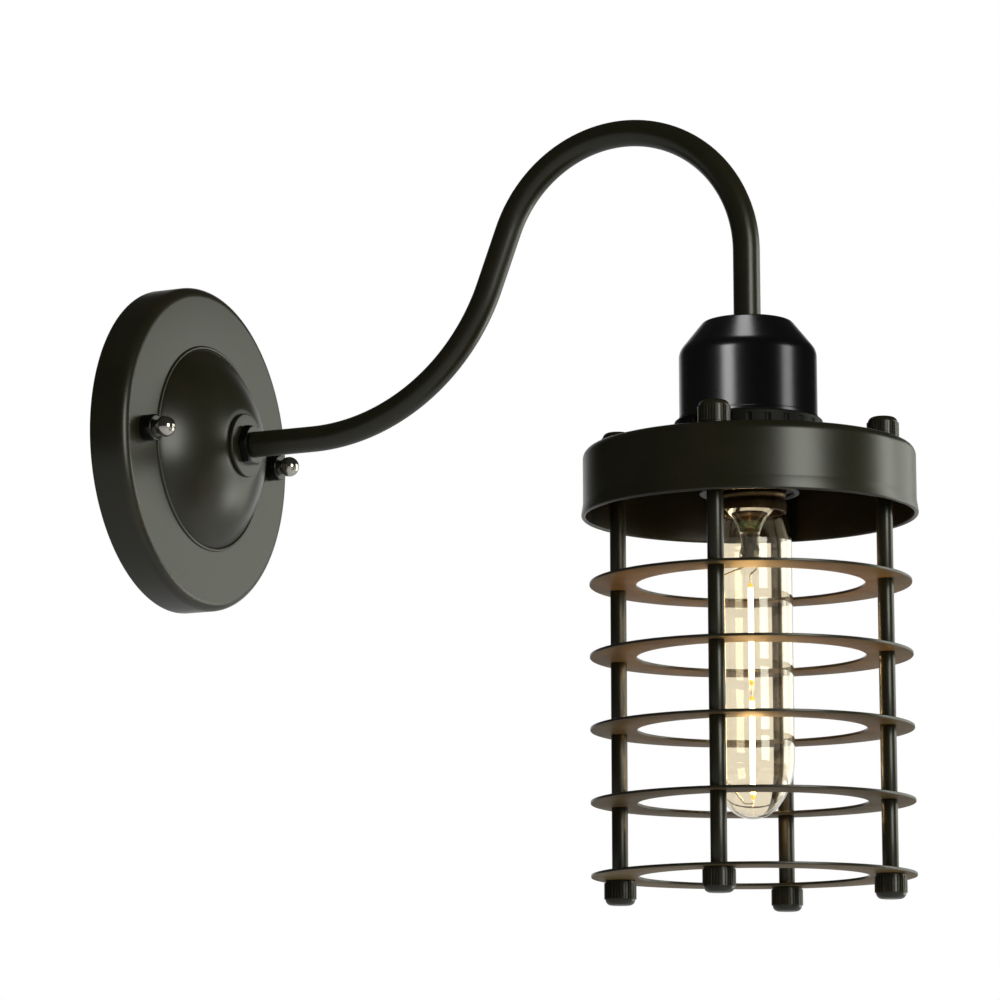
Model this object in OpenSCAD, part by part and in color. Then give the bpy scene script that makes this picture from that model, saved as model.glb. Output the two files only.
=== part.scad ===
// Wall light with a gooseneck arm and a ring cage. Millimetres.
// Origin: centre of the wall bracket on the wall plane y = 0. The light stands out along -Y, Z is up.

/* [Wall canopy] */
// Outer diameter of the canopy
canopy_d = 124.5; // [115:0.5:150]
// Depth of the canopy rim, from the wall to the flat front face
canopy_rim = 15.2; // [14:0.1:24]
// Radius of the edge between the rim and the front face
canopy_corner = 4; // [2:0.5:6]
// Sheet thickness of the canopy
canopy_sheet = 1; // [0.8:0.1:1.6]
// Width of the flat front face between the canopy's edge and the foot of the pressed dome
face_w = 23.75; // [22:0.25:28]
// Height of the dome over the front face
dome_rise = 15.2; // [12:0.1:20]
// Radius of the fine bead round the foot of the dome
bead_r = 0.7; // [0.4:0.1:1.2]

/* [Wall bracket] */
// Length of the bracket strap beyond a canopy screw
strap_over = 6.6; // [5:0.1:8]
// Width of the bracket strap
strap_w = 20; // [18:1:24]
// Thickness of the bracket plate
strap_t = 1.5; // [1.2:0.1:2.5]
// Height of the joggled strap ends over the wall
strap_lift = 4; // [3.5:0.1:5]
// Centre distance of the two wall screw slots
slot_spacing = 50; // [46:1:54]
// Length of a wall screw slot, end to end
slot_len = 12; // [8:0.5:13]
// Width of a wall screw slot
slot_w = 4.5; // [4:0.1:5.5]
// Diameter of the supply cable hole
cable_hole_d = 10; // [8:0.5:12]

/* [Canopy screws] */
// Distance of a canopy screw from the canopy's edge
stud_inset = 14.85; // [13:0.05:16]
// Thread diameter of the canopy screws
stud_d = 4; // [3:0.5:4]
// Diameter of the sleeve under a ball nut
sleeve_d = 10; // [8:0.5:12]
// Length of the sleeve under a ball nut
sleeve_len = 4.8; // [3:0.1:8]
// Diameter of a ball nut
ball_d = 7.8; // [7:0.1:10]

/* [Arm] */
// Outside diameter of the arm tube
tube_d = 9.8; // [9.6:0.1:12]
// Wall thickness of the arm tube
tube_wall = 1; // [0.8:0.1:1.5]
// Distance from the wall to the start of the lower bend
arm_lead = 60; // [50:1:90]
// Centreline radius of the lower bend
low_bend_r = 80; // [60:1:110]
// Angle of the rising run over the horizontal
rise_angle = 69; // [50:1:80]
// Length of the straight run between the bends
rise_len = 22; // [5:1:60]
// Centreline radius of the upper bend
top_bend_r = 49.5; // [40:0.5:70]
// Straight drop from the upper bend to the top of the lamp cup
arm_drop = 26.5; // [12:0.5:60]
// Width of the steel washer on the dome land, from the tube to the washer's edge
boss_w = 7.3; // [5:0.1:8]
// Thickness of that washer
boss_t = 1.6; // [1:0.1:2.5]
// Width of the dome land beyond the washer
land_margin = 1.3; // [0.5:0.1:4]
// Wall of an arm nut between the tube and its flats
arm_nut_wall = 2.1; // [1.6:0.1:3.6]

/* [Lamp cup and lampholder] */
// Gap between the lampholder and the wall of the lamp cup
cup_gap = 3.9; // [2:0.1:9]
// Height of the lamp cup
cup_h = 36.4; // [34:0.2:46]
// Width of the sloping shoulder of the cup
cup_slope_w = 8.8; // [7:0.1:11]
// Height of the sloping shoulder of the cup
cup_shoulder = 11; // [8:0.5:14]
// Wall thickness of the cup
cup_wall = 1.2; // [1:0.1:2]
// Width of the thin nut on the cup, from the tube to the nut's edge
collar_w = 1.95; // [1.4:0.05:3]
// Outer diameter of the lampholder skirt
skirt_d = 39.4; // [37:0.2:42]
// Length of the skirt below the cup
skirt_below = 26.5; // [22:0.5:34]
// Width of the two shade rings around the skirt
shade_ring_w = 6.9; // [5.5:0.1:8]
// Height of the upper shade ring
upper_ring_h = 10; // [6:0.5:12]
// Height of the lower shade ring
lower_ring_h = 8; // [5:0.5:8]

/* [Shade dish] */
// Outer diameter of the dish wall
dish_d = 119.1; // [112:0.1:150]
// How far the dish lip stands out beyond the wall
lip_flare = 0.65; // [0.5:0.05:1.5]
// Height of the dish
dish_h = 24.6; // [20:0.2:40]
// Radius of the upper edge of the dish
dish_corner = 3.5; // [2:0.5:6]
// Sheet thickness of the dish
dish_sheet = 1; // [0.8:0.1:1.5]
// Height of the flared lip
lip_h = 5; // [3:0.5:8]

/* [Cage] */
// How far the outer edge of a ring lies inside the dish wall
ring_inset = 2.15; // [0:0.05:4]
// Width of the flat band of a ring
ring_band = 16.65; // [15:0.05:27]
// Thickness of a ring
ring_t = 1; // [0.8:0.1:2]
// Distance from one ring to the next
ring_pitch = 26; // [18:0.5:30]
// Distance from the dish lip to the underside of the first ring
first_drop = 24.5; // [12:0.5:40]
// Distance of a tie rod from the dish wall
rod_inset = 10.55; // [9:0.05:13]
// Turn of the tie rods about the lamp axis
rod_turn = 8.5; // [0:0.1:45]
// Number of tie rods
rod_count = 4; // [3:1:4]
// Thread diameter of a tie rod
rod_d = 4; // [3:0.5:4]
// Outside diameter of a spacer tube
spacer_d = 5.8; // [5.4:0.1:8]
// Diameter of a knurled nut
knurl_d = 11.5; // [9:0.1:14]
// Height of a knurled nut
knurl_h = 8.8; // [7:0.1:12]
// Number of knurls on a nut
knurl_count = 32; // [16:2:40]

/* [Bulb] */
// Diameter of the glass
glass_d = 29.9; // [26:0.1:38]
// Length of the glass below the cap
glass_len = 109.5; // [80:0.5:125]
// Thickness of the glass
glass_t = 0.9; // [0.6:0.1:1.5]
// Diameter of the cap shell
cap_d = 26.2; // [25.8:0.1:26.4]
// Height of the cap with its contact
cap_h = 27; // [26:0.2:28]

/* [Hidden] */
$fn = 96;

eps = 0.01;
// A bend is this much thinner than the straight runs beside it, so that they join in a clean step
step = 0.005;
// Radial gap between a thread or shank and what it goes through
fit_gap = 0.1;

// Finishes
iron = [0.19, 0.19, 0.17];
black = [0.06, 0.06, 0.06];
zinc = [0.62, 0.64, 0.62];
nickel = [0.75, 0.74, 0.70];
brass = [0.72, 0.58, 0.30];
porcelain = [0.90, 0.88, 0.82];
glass = [0.92, 0.88, 0.74, 0.35];

// Canopy and dome
dome_d = canopy_d - 2 * face_w;
stud_spacing = canopy_d - 2 * stud_inset;
boss_d = tube_d + 2 * boss_w;
land_d = boss_d + 2 * land_margin;
land_h = canopy_rim + dome_rise;
dome_k = (pow(dome_d / 2, 2) - pow(land_d / 2, 2) - pow(dome_rise, 2)) / (2 * dome_rise);
dome_ball_r = norm([dome_d / 2, dome_k]);
boss_h = land_h + boss_t;

// Arm centreline in the plane x = 0: u runs out from the wall, v runs up
tube_in_r = tube_d / 2 - tube_wall;
arm_nut_af = tube_d + 2 * arm_nut_wall;
arm_nut_t = 3.2;
lock_t = 1.2;
tube_start = land_h - canopy_sheet - lock_t - arm_nut_t - 2.5;
rise_foot = [arm_lead + low_bend_r * sin(rise_angle), low_bend_r * (1 - cos(rise_angle))];
rise_head = rise_foot + rise_len * [cos(rise_angle), sin(rise_angle)];
arch = rise_head + top_bend_r * [sin(rise_angle), -cos(rise_angle)];
lamp_reach = arch.x + top_bend_r;

// Heights of the lamp, from the cup top down
cup_top = arch.y - arm_drop;
cup_foot = cup_top - cup_h;
dish_top = cup_foot - upper_ring_h;
dish_foot = dish_top - dish_h;
skirt_foot = cup_foot - skirt_below;
cup_d = skirt_d + 2 * (cup_gap + cup_wall);
cup_top_d = cup_d - 2 * cup_slope_w;
shade_ring_d = skirt_d + 2 * shade_ring_w;
collar_d = tube_d + 2 * collar_w;
collar_t = 1.5;
nipple_r = tube_d / 2 + 2.1;
nipple_len = 8;
tube_end = cup_top - cup_wall - nipple_len;
bush_flange = 0.8;
core_h = 14;
core_top = cup_foot + 16;
core_foot = core_top - core_h;
seam = core_top - 4;
cavity_top = core_top + 8.3;
shell_top = core_foot - 1.2;
shell_foot = skirt_foot + 1.6;
shell_wall = 0.5;
post_at = 9.5;
post_h = 4.5;
rivet_d = 2.8;
// Terminal posts: x, y and length of the rivet under the post
posts = [[-post_at, 0, core_h], [post_at, 0, core_top - shell_top], [0, -post_at, 6]];
contact_gap = 0.3;

// Bracket
strap_len = stud_spacing + 2 * strap_over;
flat_half = slot_spacing / 2 + slot_len / 2 + 1.5;
ramp_w = 5;
stud_head = [7.6, 2.5];
stud_nut_h = 3.2;

// Dish and cage
lip_d = dish_d + 2 * lip_flare;
ring_d = dish_d - 2 * ring_inset;
ring_hole_d = ring_d - 2 * ring_band;
rod_pcd = dish_d - 2 * rod_inset;
ring_count = 5;
rod_hole_d = rod_d + 0.3;
last_ring = dish_foot - first_drop - (ring_count - 1) * ring_pitch;
nut_bore_h = knurl_h - 2.4;
rod_top = dish_top + nut_bore_h - 0.4;
rod_foot = last_ring - nut_bore_h + 0.4;

// Bulb
shell_in_d = cap_d + 1;
cap_wall = 0.5;
cap_rim = 1.6;
cap_top = core_foot - 8.2;
cap_foot = cap_top - cap_h;
glass_foot = cap_foot - glass_len;
insulator_h = 5.3;
contact_h = 1.2;
shell_len = cap_h - insulator_h - contact_h;
neck_r = min(cap_d / 2 - 0.6, glass_d / 2 - 1);
neck_in = 6;
shoulder_h = 10;
end_h = 21.5;
end_side_r = 28;
// Radius of the tip arc that runs on from the side arc without a corner
end_shift = end_side_r - glass_d / 2;
tip_r = (pow(end_side_r, 2) - pow(end_shift, 2) - pow(end_h, 2)) / (2 * (end_side_r - end_h));
stem_foot = cap_foot - 18;
wire_angle = 116;
wire_out = glass_d / 2 - glass_t - 4.55;
filament_d = 1.8;
filament_gap = 4.6;
filament_top = stem_foot - 7.3;
filament_foot = glass_foot + 6.6;
filament_len = (filament_top - filament_foot - filament_gap) / 2;
lead_r = 0.35;

// Wires
wire_r = 1.1;
core_wire_r = 0.6;
live_at = [-1.35, -0.8];
neutral_at = [1.35, -0.8];
earth_at = [0, 1.5];
wire_bend = 2.2;
pole_x = 5.4;
pole_h = 7;
block_top = -17;
block_len = 16;
block_base = strap_t;
block_h = 11;
block_low = 7.5;
block_seat = 4.9;
insert_d = 4;
clamp_d = 2.4;
tag_at = [13, 0];
tag_t = 0.8;
tag_len = 12;
tag_barrel_h = strap_t + 1.7;

// ---- shared shapes ----
function unit(v) = v / norm(v);
function back(p, i) = unit(p[(i + len(p) - 1) % len(p)] - p[i]);
function on(p, i) = unit(p[(i + 1) % len(p)] - p[i]);
function half_angle(p, i) = acos(back(p, i) * on(p, i)) / 2;
function corner_ends(p, i, r) =
    let (t = r / tan(half_angle(p, i))) [p[i] + back(p, i) * t, p[i] + on(p, i) * t];
function corner_centre(p, i, r) = p[i] + unit(back(p, i) + on(p, i)) * r / sin(half_angle(p, i));

// Convex outline with its corners rounded by true arcs; an arc is no wider than the outline beside it
module rounded(p, r) {
    polygon([for (i = [0:len(p) - 1]) each r[i] > 0 ? corner_ends(p, i, r[i]) : [p[i]]]);
    for (i = [0:len(p) - 1])
        if (r[i] > 0) translate(corner_centre(p, i, r[i])) circle(r[i]);
}

// Local z points out of the wall and local y points up
module from_wall(h = 0) { translate([0, -h, 0]) rotate([90, 0, 0]) children(); }
module at_studs() { for (s = [-1, 1]) translate([s * stud_spacing / 2, 0, 0]) children(); }
module on_lamp(z = 0) { translate([0, -lamp_reach, z]) children(); }
module at_rods() { for (i = [0:rod_count - 1]) rotate([0, 0, rod_turn + i * 360 / rod_count])
    translate([rod_pcd / 2, 0, 0]) children(); }

module ring(d, hole, h) {
    difference() {
        cylinder(d = d, h = h);
        translate([0, 0, -1]) cylinder(d = hole, h = h + 2);
    }
}

// Hexagon nut with its corners chamfered at 30 degrees, flats facing up and down
module hex_nut(af, hole, h) {
    growth = h / tan(30);
    difference() {
        intersection() {
            cylinder(d = af / cos(30), h = h, $fn = 6);
            union() {
                cylinder(d1 = af, d2 = af + growth, h = h / 2);
                translate([0, 0, h / 2]) cylinder(d1 = af + growth, d2 = af, h = h / 2);
            }
        }
        translate([0, 0, -1]) cylinder(d = hole, h = h + 2);
    }
}

// Pan head screw, head up, shank down from z = 0
module pan_screw(d, shank, head_d, head_h) {
    cross_w = head_d * 0.1;
    difference() {
        rotate_extrude() rounded([[0, 0], [head_d / 2, 0], [head_d / 2, head_h], [0, head_h]],
            [0, 0, head_h * 0.45, 0]);
        for (a = [0, 90]) rotate([0, 0, a])
            translate([-head_d * 0.3, -cross_w / 2, head_h * 0.45]) cube([head_d * 0.6, cross_w, head_h]);
    }
    translate([0, 0, -shank]) cylinder(d = d, h = shank + eps);
}

// Straight rod from a to b
module rod(a, b, r) {
    d = unit(b - a);
    translate(a) rotate([0, acos(d.z), atan2(d.y, d.x)]) cylinder(r = r, h = norm(b - a));
}

function turn_at(p, i) = acos(unit(p[i] - p[i - 1]) * unit(p[i + 1] - p[i]));
function bend_foot(p, i, bend) = bend * tan(turn_at(p, i) / 2);
function trim_at(p, i, bend) = i == 0 || i == len(p) - 1 ? 0 : bend_foot(p, i, bend) - eps;

// Rod that follows a line of points, with every corner bent to one radius
module bent_rod(p, r, bend) {
    for (i = [0:len(p) - 2]) {
        d = unit(p[i + 1] - p[i]);
        rod(p[i] + d * trim_at(p, i, bend), p[i + 1] - d * trim_at(p, i + 1, bend), r);
    }
    for (i = [1:len(p) - 2]) {
        d = unit(p[i] - p[i - 1]);
        axis = unit(cross(d, unit(p[i + 1] - p[i])));
        inward = cross(axis, d);
        c = p[i] - d * bend_foot(p, i, bend) + inward * bend;
        multmatrix([[-inward.x, d.x, axis.x, c.x], [-inward.y, d.y, axis.y, c.y],
            [-inward.z, d.z, axis.z, c.z], [0, 0, 0, 1]])
            rotate_extrude(angle = turn_at(p, i)) translate([bend, 0]) circle(r - step);
    }
}

// Round run along the arm, moved sideways and up from its centreline; bend_more widens the bends
module arm_run(r, side = 0, up = 0, start = tube_start, foot = tube_end, bend_more = -step) {
    rotate([90, 0, -90]) translate([0, 0, -side]) {
        translate([start, up, 0]) rotate([0, 90, 0]) cylinder(r = r, h = arm_lead - start + eps);
        translate([arm_lead, low_bend_r, 0]) rotate([0, 0, -90])
            rotate_extrude(angle = rise_angle) translate([low_bend_r - up, 0]) circle(r + bend_more);
        translate([rise_foot.x - up * sin(rise_angle), rise_foot.y + up * cos(rise_angle), 0])
            rotate([0, 90, rise_angle]) translate([0, 0, -eps]) cylinder(r = r, h = rise_len + 2 * eps);
        translate([arch.x, arch.y, 0])
            rotate_extrude(angle = 90 + rise_angle) translate([top_bend_r + up, 0]) circle(r + bend_more);
        translate([lamp_reach + up, foot, 0]) rotate([-90, 0, 0]) cylinder(r = r, h = arch.y + eps - foot);
    }
}

// ---- wall bracket and what it carries ----
module wall_bracket() {
    skew = 0.6;
    outline = [[0, 0], [flat_half, 0], [flat_half + ramp_w, strap_lift], [strap_len / 2, strap_lift],
        [strap_len / 2, strap_lift + strap_t], [flat_half + ramp_w - skew, strap_lift + strap_t],
        [flat_half - skew, strap_t], [0, strap_t]];
    tab_w = 26;
    tab_foot = block_top - block_len - 4;
    color(zinc) from_wall() difference() {
        union() {
            intersection() {
                rotate([90, 0, 0]) for (m = [0, 1]) mirror([m, 0, 0])
                    linear_extrude(strap_w, center = true) polygon(outline);
                linear_extrude(20) {
                    square([strap_len - strap_w, strap_w], center = true);
                    for (s = [-1, 1]) translate([s * (strap_len - strap_w) / 2, 0]) circle(d = strap_w);
                }
            }
            linear_extrude(strap_t) rounded([[-tab_w / 2, 0], [tab_w / 2, 0], [tab_w / 2, tab_foot],
                [-tab_w / 2, tab_foot]], [0, 0, 4, 4]);
        }
        translate([0, 0, -1]) cylinder(d = cable_hole_d, h = 5);
        for (s = [-1, 1]) translate([s * slot_spacing / 2, 0, -1]) linear_extrude(5) {
            square([slot_len - slot_w, slot_w], center = true);
            for (e = [-1, 1]) translate([e * (slot_len - slot_w) / 2, 0]) circle(d = slot_w);
        }
        at_studs() translate([0, 0, -1]) cylinder(d = stud_d + 2 * fit_gap, h = 20);
        translate([tag_at.x, tag_at.y, -1]) cylinder(d = 4 + 2 * fit_gap, h = 5);
        translate([0, block_top - block_len / 2, -1]) cylinder(d = 3 + 2 * fit_gap, h = 5);
    }
}

module bracket_studs() {
    color(zinc) from_wall(strap_lift) at_studs() mirror([0, 0, 1])
        pan_screw(stud_d, canopy_rim + sleeve_len + 4.5 - strap_lift, stud_head.x, stud_head.y);
}

module stud_lock_nuts() {
    color(zinc) from_wall(strap_lift + strap_t) at_studs() hex_nut(7, stud_d + 2 * fit_gap, stud_nut_h);
}

module stud_sleeves() {
    color(black) from_wall(canopy_rim) at_studs() difference() {
        rotate_extrude() rounded([[0, 0], [sleeve_d / 2, 0], [sleeve_d / 2, sleeve_len], [0, sleeve_len]],
            [0, 0.3, 0.6, 0]);
        translate([0, 0, -1]) cylinder(d = stud_d + 2 * fit_gap, h = sleeve_len + 2);
    }
}

// Ball with a flat seat and a blind threaded hole
module ball_nuts() {
    ball_h = ball_d / 2 - 0.3;
    color(nickel) from_wall(canopy_rim + sleeve_len) at_studs() difference() {
        union() {
            intersection() {
                translate([0, 0, ball_h]) sphere(d = ball_d);
                cylinder(d = ball_d + 2, h = ball_d);
            }
            cylinder(d = ball_d * 0.72, h = ball_h / 2);
        }
        translate([0, 0, -1]) cylinder(d = stud_d + 2 * fit_gap, h = 1 + 4.8);
    }
}

// Places of the four clamp screws of the terminal block
module at_clamps() {
    for (s = [-1, 1], y = [block_top - 4, block_top - block_len + 4])
        translate([s * pole_x, y, 0]) children();
}
module at_poles(y) { for (s = [-1, 1]) translate([s * pole_x, y, 0]) rotate([90, 0, 0]) children(); }

module terminal_block() {
    foot = block_top - block_len;
    half_w = pole_x + 4.4;
    screw_at = [0, block_top - block_len / 2, 0];
    color(porcelain) from_wall(block_base) difference() {
        union() {
            linear_extrude(block_low) rounded([[-half_w, foot], [half_w, foot], [half_w, block_top],
                [-half_w, block_top]], [1, 1, 1, 1]);
            at_clamps() cylinder(d = 6.6, h = block_h);
        }
        translate([0, 0, pole_h - block_base]) {
            at_poles(block_top + 1) cylinder(d = insert_d + 2 * fit_gap, h = block_len + 2);
            at_clamps() cylinder(d = clamp_d + 0.6, h = block_h);
        }
        translate(screw_at - [0, 0, 1]) cylinder(d = 3 + 2 * fit_gap, h = block_h);
        translate(screw_at + [0, 0, block_seat]) cylinder(d = 5.8, h = block_h);
    }
}

module terminal_inserts() {
    color(brass) from_wall(pole_h) difference() {
        at_poles(block_top - 1) cylinder(d = insert_d, h = block_len - 2);
        at_poles(block_top) cylinder(d = insert_d - 1.4, h = block_len);
        at_clamps() cylinder(d = clamp_d + 2 * fit_gap, h = insert_d);
    }
}

module terminal_screws() {
    clamp_h = 4;
    color(zinc) from_wall(pole_h + core_wire_r + 0.05) at_clamps() difference() {
        cylinder(d = clamp_d, h = clamp_h);
        translate([-clamp_d, -0.3, clamp_h - 0.8]) cube([2 * clamp_d, 0.6, 2]);
    }
}

module block_screw() {
    color(zinc) from_wall(block_base + block_seat) translate([0, block_top - block_len / 2, 0])
        pan_screw(3, block_seat + strap_t - 0.2, 5, 2);
}

module earth_tag() {
    color(brass) from_wall() translate([tag_at.x, tag_at.y, strap_t]) {
        difference() {
            union() {
                cylinder(d = 8.6, h = tag_t);
                translate([-1.6, 0, 0]) cube([3.2, 8, tag_t]);
            }
            translate([0, 0, -1]) cylinder(d = 4 + 2 * fit_gap, h = 3);
        }
        translate([0, tag_len / 2, tag_barrel_h - strap_t]) rotate([-90, 0, 0])
            ring(3.4, 2 * (core_wire_r + fit_gap), tag_len / 2);
    }
}

module earth_screw() {
    color(zinc) from_wall(strap_t + tag_t) translate([tag_at.x, tag_at.y, 0])
        pan_screw(4, strap_t + tag_t - 0.2, 7.6, 2.4);
}

// ---- canopy ----
module canopy_outline(inset) {
    r = canopy_d / 2 - inset;
    h = canopy_rim - inset;
    rounded([[0, 0], [r, 0], [r, h], [0, h]], [0, 0, canopy_corner - inset, 0]);
    intersection() {
        translate([0, canopy_rim - dome_k]) circle(dome_ball_r - inset);
        translate([0, canopy_rim - 3]) square([dome_d, dome_rise + 3 - inset]);
    }
}

module canopy() {
    color(iron) from_wall() difference() {
        union() {
            rotate_extrude() canopy_outline(0);
            translate([0, 0, canopy_rim]) rotate_extrude()
                translate([dome_d / 2 + bead_r * 0.6, 0]) circle(bead_r);
        }
        rotate_extrude() canopy_outline(canopy_sheet);
        translate([0, 0, -1]) cylinder(r = canopy_d / 2 - canopy_sheet, h = 1 + eps);
        cylinder(d = tube_d + 2 * fit_gap, h = land_h + 2);
        at_studs() translate([0, 0, canopy_rim - 4]) cylinder(d = stud_d + 1, h = 8);
    }
}

// ---- arm ----
module boss_washer() { color(iron) from_wall(land_h) ring(boss_d, tube_d + 2 * fit_gap, boss_t); }
module arm_outer_nut() {
    color(black) from_wall(boss_h) hex_nut(arm_nut_af, tube_d + 2 * fit_gap, arm_nut_t);
}

module arm_lock_washer() {
    color(zinc) from_wall(land_h - canopy_sheet - lock_t) difference() {
        ring(arm_nut_af + 2, tube_d + 2 * fit_gap, lock_t);
        rotate([0, 0, 35]) translate([0, -0.6, -1]) cube([20, 1.2, lock_t + 2]);
    }
}

module arm_inner_nut() {
    color(zinc) from_wall(land_h - canopy_sheet - lock_t - arm_nut_t)
        hex_nut(arm_nut_af, tube_d + 2 * fit_gap, arm_nut_t);
}

// The bore is this much wider in the bends
module arm_tube() {
    bore_step = 0.02;
    color(iron) difference() {
        arm_run(tube_d / 2);
        arm_run(tube_in_r, start = tube_start - 1, foot = tube_end - 1, bend_more = bore_step);
    }
}

module bush() {
    bore = 2 * (norm(live_at) + wire_r) + 0.4;
    difference() {
        union() {
            cylinder(d = tube_d - 0.4, h = bush_flange);
            cylinder(r = tube_in_r - 0.05, h = bush_flange + 5);
        }
        translate([0, 0, -1]) cylinder(d = bore, h = 10);
    }
}

module tube_bushes() {
    color(black) {
        from_wall(tube_start - bush_flange) bush();
        on_lamp(tube_end - bush_flange) bush();
    }
}

// Insulated wire in the arm with its bent ends; the last stretch at each end is bare
module arm_wire(at, wall_points, lamp_points) {
    arm_run(wire_r, side = at.x, up = at.y);
    bent_rod(wall_points, wire_r, wire_bend);
    bent_rod(lamp_points, wire_r, wire_bend);
    bare_end(wall_points, 8);
    bare_end(lamp_points, post_h - 1.2);
}

module bare_end(p, h) {
    n = len(p) - 1;
    rod(p[n], p[n] + unit(p[n] - p[n - 1]) * h, core_wire_r);
}

function lamp_wire(at, post) = [
    [at.x, -lamp_reach - at.y, tube_end], [at.x, -lamp_reach - at.y, core_top + 7],
    [post.x, post.y - lamp_reach, core_top + 7], [post.x, post.y - lamp_reach, core_top + post_h + 0.1]];
function block_wire(at, pole) = [
    [at.x, -tube_start, at.y], [at.x, -pole_h, at.y],
    [pole, -pole_h, block_top + 5], [pole, -pole_h, block_top + 0.3]];

module live_wire() {
    color("saddlebrown")
        arm_wire(live_at, block_wire(live_at, -pole_x), lamp_wire(live_at, posts[0]));
}

module neutral_wire() {
    color("royalblue")
        arm_wire(neutral_at, block_wire(neutral_at, pole_x), lamp_wire(neutral_at, posts[1]));
}

module earth_wire() {
    loop = [11, 19];
    color("olivedrab") arm_wire(earth_at, [
        [earth_at.x, -tube_start, earth_at.y], [earth_at.x, -loop.x, earth_at.y], [tag_at.x, -loop.x, loop.y],
        [tag_at.x, -tag_barrel_h, loop.y], [tag_at.x, -tag_barrel_h, tag_at.y + tag_len + 0.2]],
        lamp_wire(earth_at, posts[2]));
}

// ---- lamp cup and lampholder ----
module cup_outline(inset, foot) {
    r = cup_d / 2 - inset;
    top = cup_top - inset;
    slope = atan2(cup_shoulder, (cup_d - cup_top_d) / 2);
    knee = cup_top - cup_shoulder - inset * tan((90 - slope) / 2);
    rounded([[0, foot], [r, foot], [r, knee], [cup_top_d / 2 - inset * tan(slope / 2), top], [0, top]],
        [0, 0, 7 - inset, 2.2 - inset * 0.8, 0]);
}

module lamp_cup() {
    color(black) on_lamp() difference() {
        union() {
            rotate_extrude() cup_outline(0, cup_foot);
            translate([0, 0, cup_foot]) cylinder(d = cup_d + 0.5, h = 1.6);
        }
        rotate_extrude() cup_outline(cup_wall, cup_foot - 1);
        cylinder(d = tube_d + 2 * fit_gap, h = cup_top + 5);
    }
}

module cup_nut() {
    color(black) on_lamp(cup_top) difference() {
        rotate_extrude() rounded([[0, 0], [collar_d / 2, 0], [collar_d / 2, collar_t], [0, collar_t]],
            [0, 0, 0.4, 0]);
        translate([0, 0, -1]) cylinder(d = tube_d + 2 * fit_gap, h = 5);
    }
}

// Upper half of the lampholder, with the threaded nipple that takes the arm
module holder_cap() {
    r = skirt_d / 2;
    roof = cavity_top + 2;
    color(black) on_lamp() difference() {
        rotate_extrude() {
            rounded([[0, seam], [r, seam], [r, roof], [0, roof]], [0, 0, 4, 0]);
            translate([0, roof - 1]) square([nipple_r, cup_top - cup_wall - roof + 1]);
        }
        translate([0, 0, seam - 1]) cylinder(r = r - 2.4, h = cavity_top - seam + 1);
        translate([0, 0, seam]) cylinder(r = 4, h = tube_end - seam);
        translate([0, 0, tube_end - bush_flange]) cylinder(d = tube_d + 2 * fit_gap, h = 20);
        for (a = [0:45:359]) rotate([0, 0, a]) translate([r + 0.9, 0, seam - 1]) cylinder(r = 1.6, h = 6);
    }
}

module holder_core() {
    color(porcelain) on_lamp(core_foot) difference() {
        union() {
            cylinder(r = skirt_d / 2 - 2.8, h = core_h - 2);
            cylinder(r = skirt_d / 2 - 5, h = core_h);
        }
        for (p = posts) translate([p.x, p.y, -1]) cylinder(d = rivet_d + 2 * fit_gap, h = core_h + 2);
        translate([0, 0, -1]) cylinder(d = 4, h = core_h + 2);
    }
}

// Posts riveted through the core: one to the contact strip, one to the screw shell, the earth one blind
module holder_terminals() {
    color(brass) on_lamp(core_top) for (p = posts) translate([p.x, p.y, 0]) difference() {
        union() {
            translate([0, 0, post_h / 2]) cube([5, 5, post_h], center = true);
            translate([0, 0, -p.z]) cylinder(d = rivet_d, h = p.z + 1);
        }
        translate([0, 0, 1.1]) cylinder(r = core_wire_r + fit_gap, h = 10);
        rotate([0, 0, atan2(p.y, p.x)]) translate([0, 0, post_h / 2]) rotate([0, 90, 0])
            cylinder(d = 2.2, h = 5);
    }
}

module holder_screws() {
    color(zinc) on_lamp(core_top + post_h / 2) for (p = posts) rotate([0, 0, atan2(p.y, p.x)])
        translate([post_at + 2.5, 0, 0]) rotate([0, 90, 0]) pan_screw(2, 1.8, 4, 1.4);
}

module holder_skirt() {
    r = skirt_d / 2;
    rim = [r - 1.7, 3];
    color(black) on_lamp() difference() {
        rotate_extrude() {
            translate([0, skirt_foot + rim.y]) square([r, seam - skirt_foot - rim.y]);
            translate([0, skirt_foot]) rounded([[0, 0], [rim.x, 0], [rim.x, rim.y + 1], [0, rim.y + 1]],
                [0, 0.6, 0, 0]);
        }
        translate([0, 0, core_foot]) cylinder(r = r - 2.7, h = 40);
        translate([0, 0, shell_foot]) cylinder(d = shell_in_d + 2 * shell_wall + 2 * fit_gap, h = 40);
        translate([0, 0, skirt_foot - 1]) cylinder(d = shell_in_d + 0.4, h = 40);
    }
}

module screw_shell() {
    color(brass) on_lamp(shell_foot) difference() {
        cylinder(d = shell_in_d + 2 * shell_wall, h = shell_top - shell_foot);
        translate([0, 0, -1]) cylinder(d = shell_in_d, h = shell_top - shell_wall - shell_foot + 1);
        cylinder(d = 13, h = 50);
    }
}

// Contact strip under the core with a spring tongue that runs back over the bulb
module centre_contact() {
    strip = 5;
    tongue = cap_top + contact_gap;
    color(brass) on_lamp() rotate([90, 0, 0]) linear_extrude(strip, center = true)
        polygon([[-post_at - 1.5, core_foot], [-post_at - 1.5, core_foot - 0.6], [2.8, core_foot - 0.6],
            [-2.6, tongue], [2.4, tongue], [2.4, tongue + 0.5], [-1.6, tongue + 0.5], [3.8, core_foot]]);
}

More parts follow.
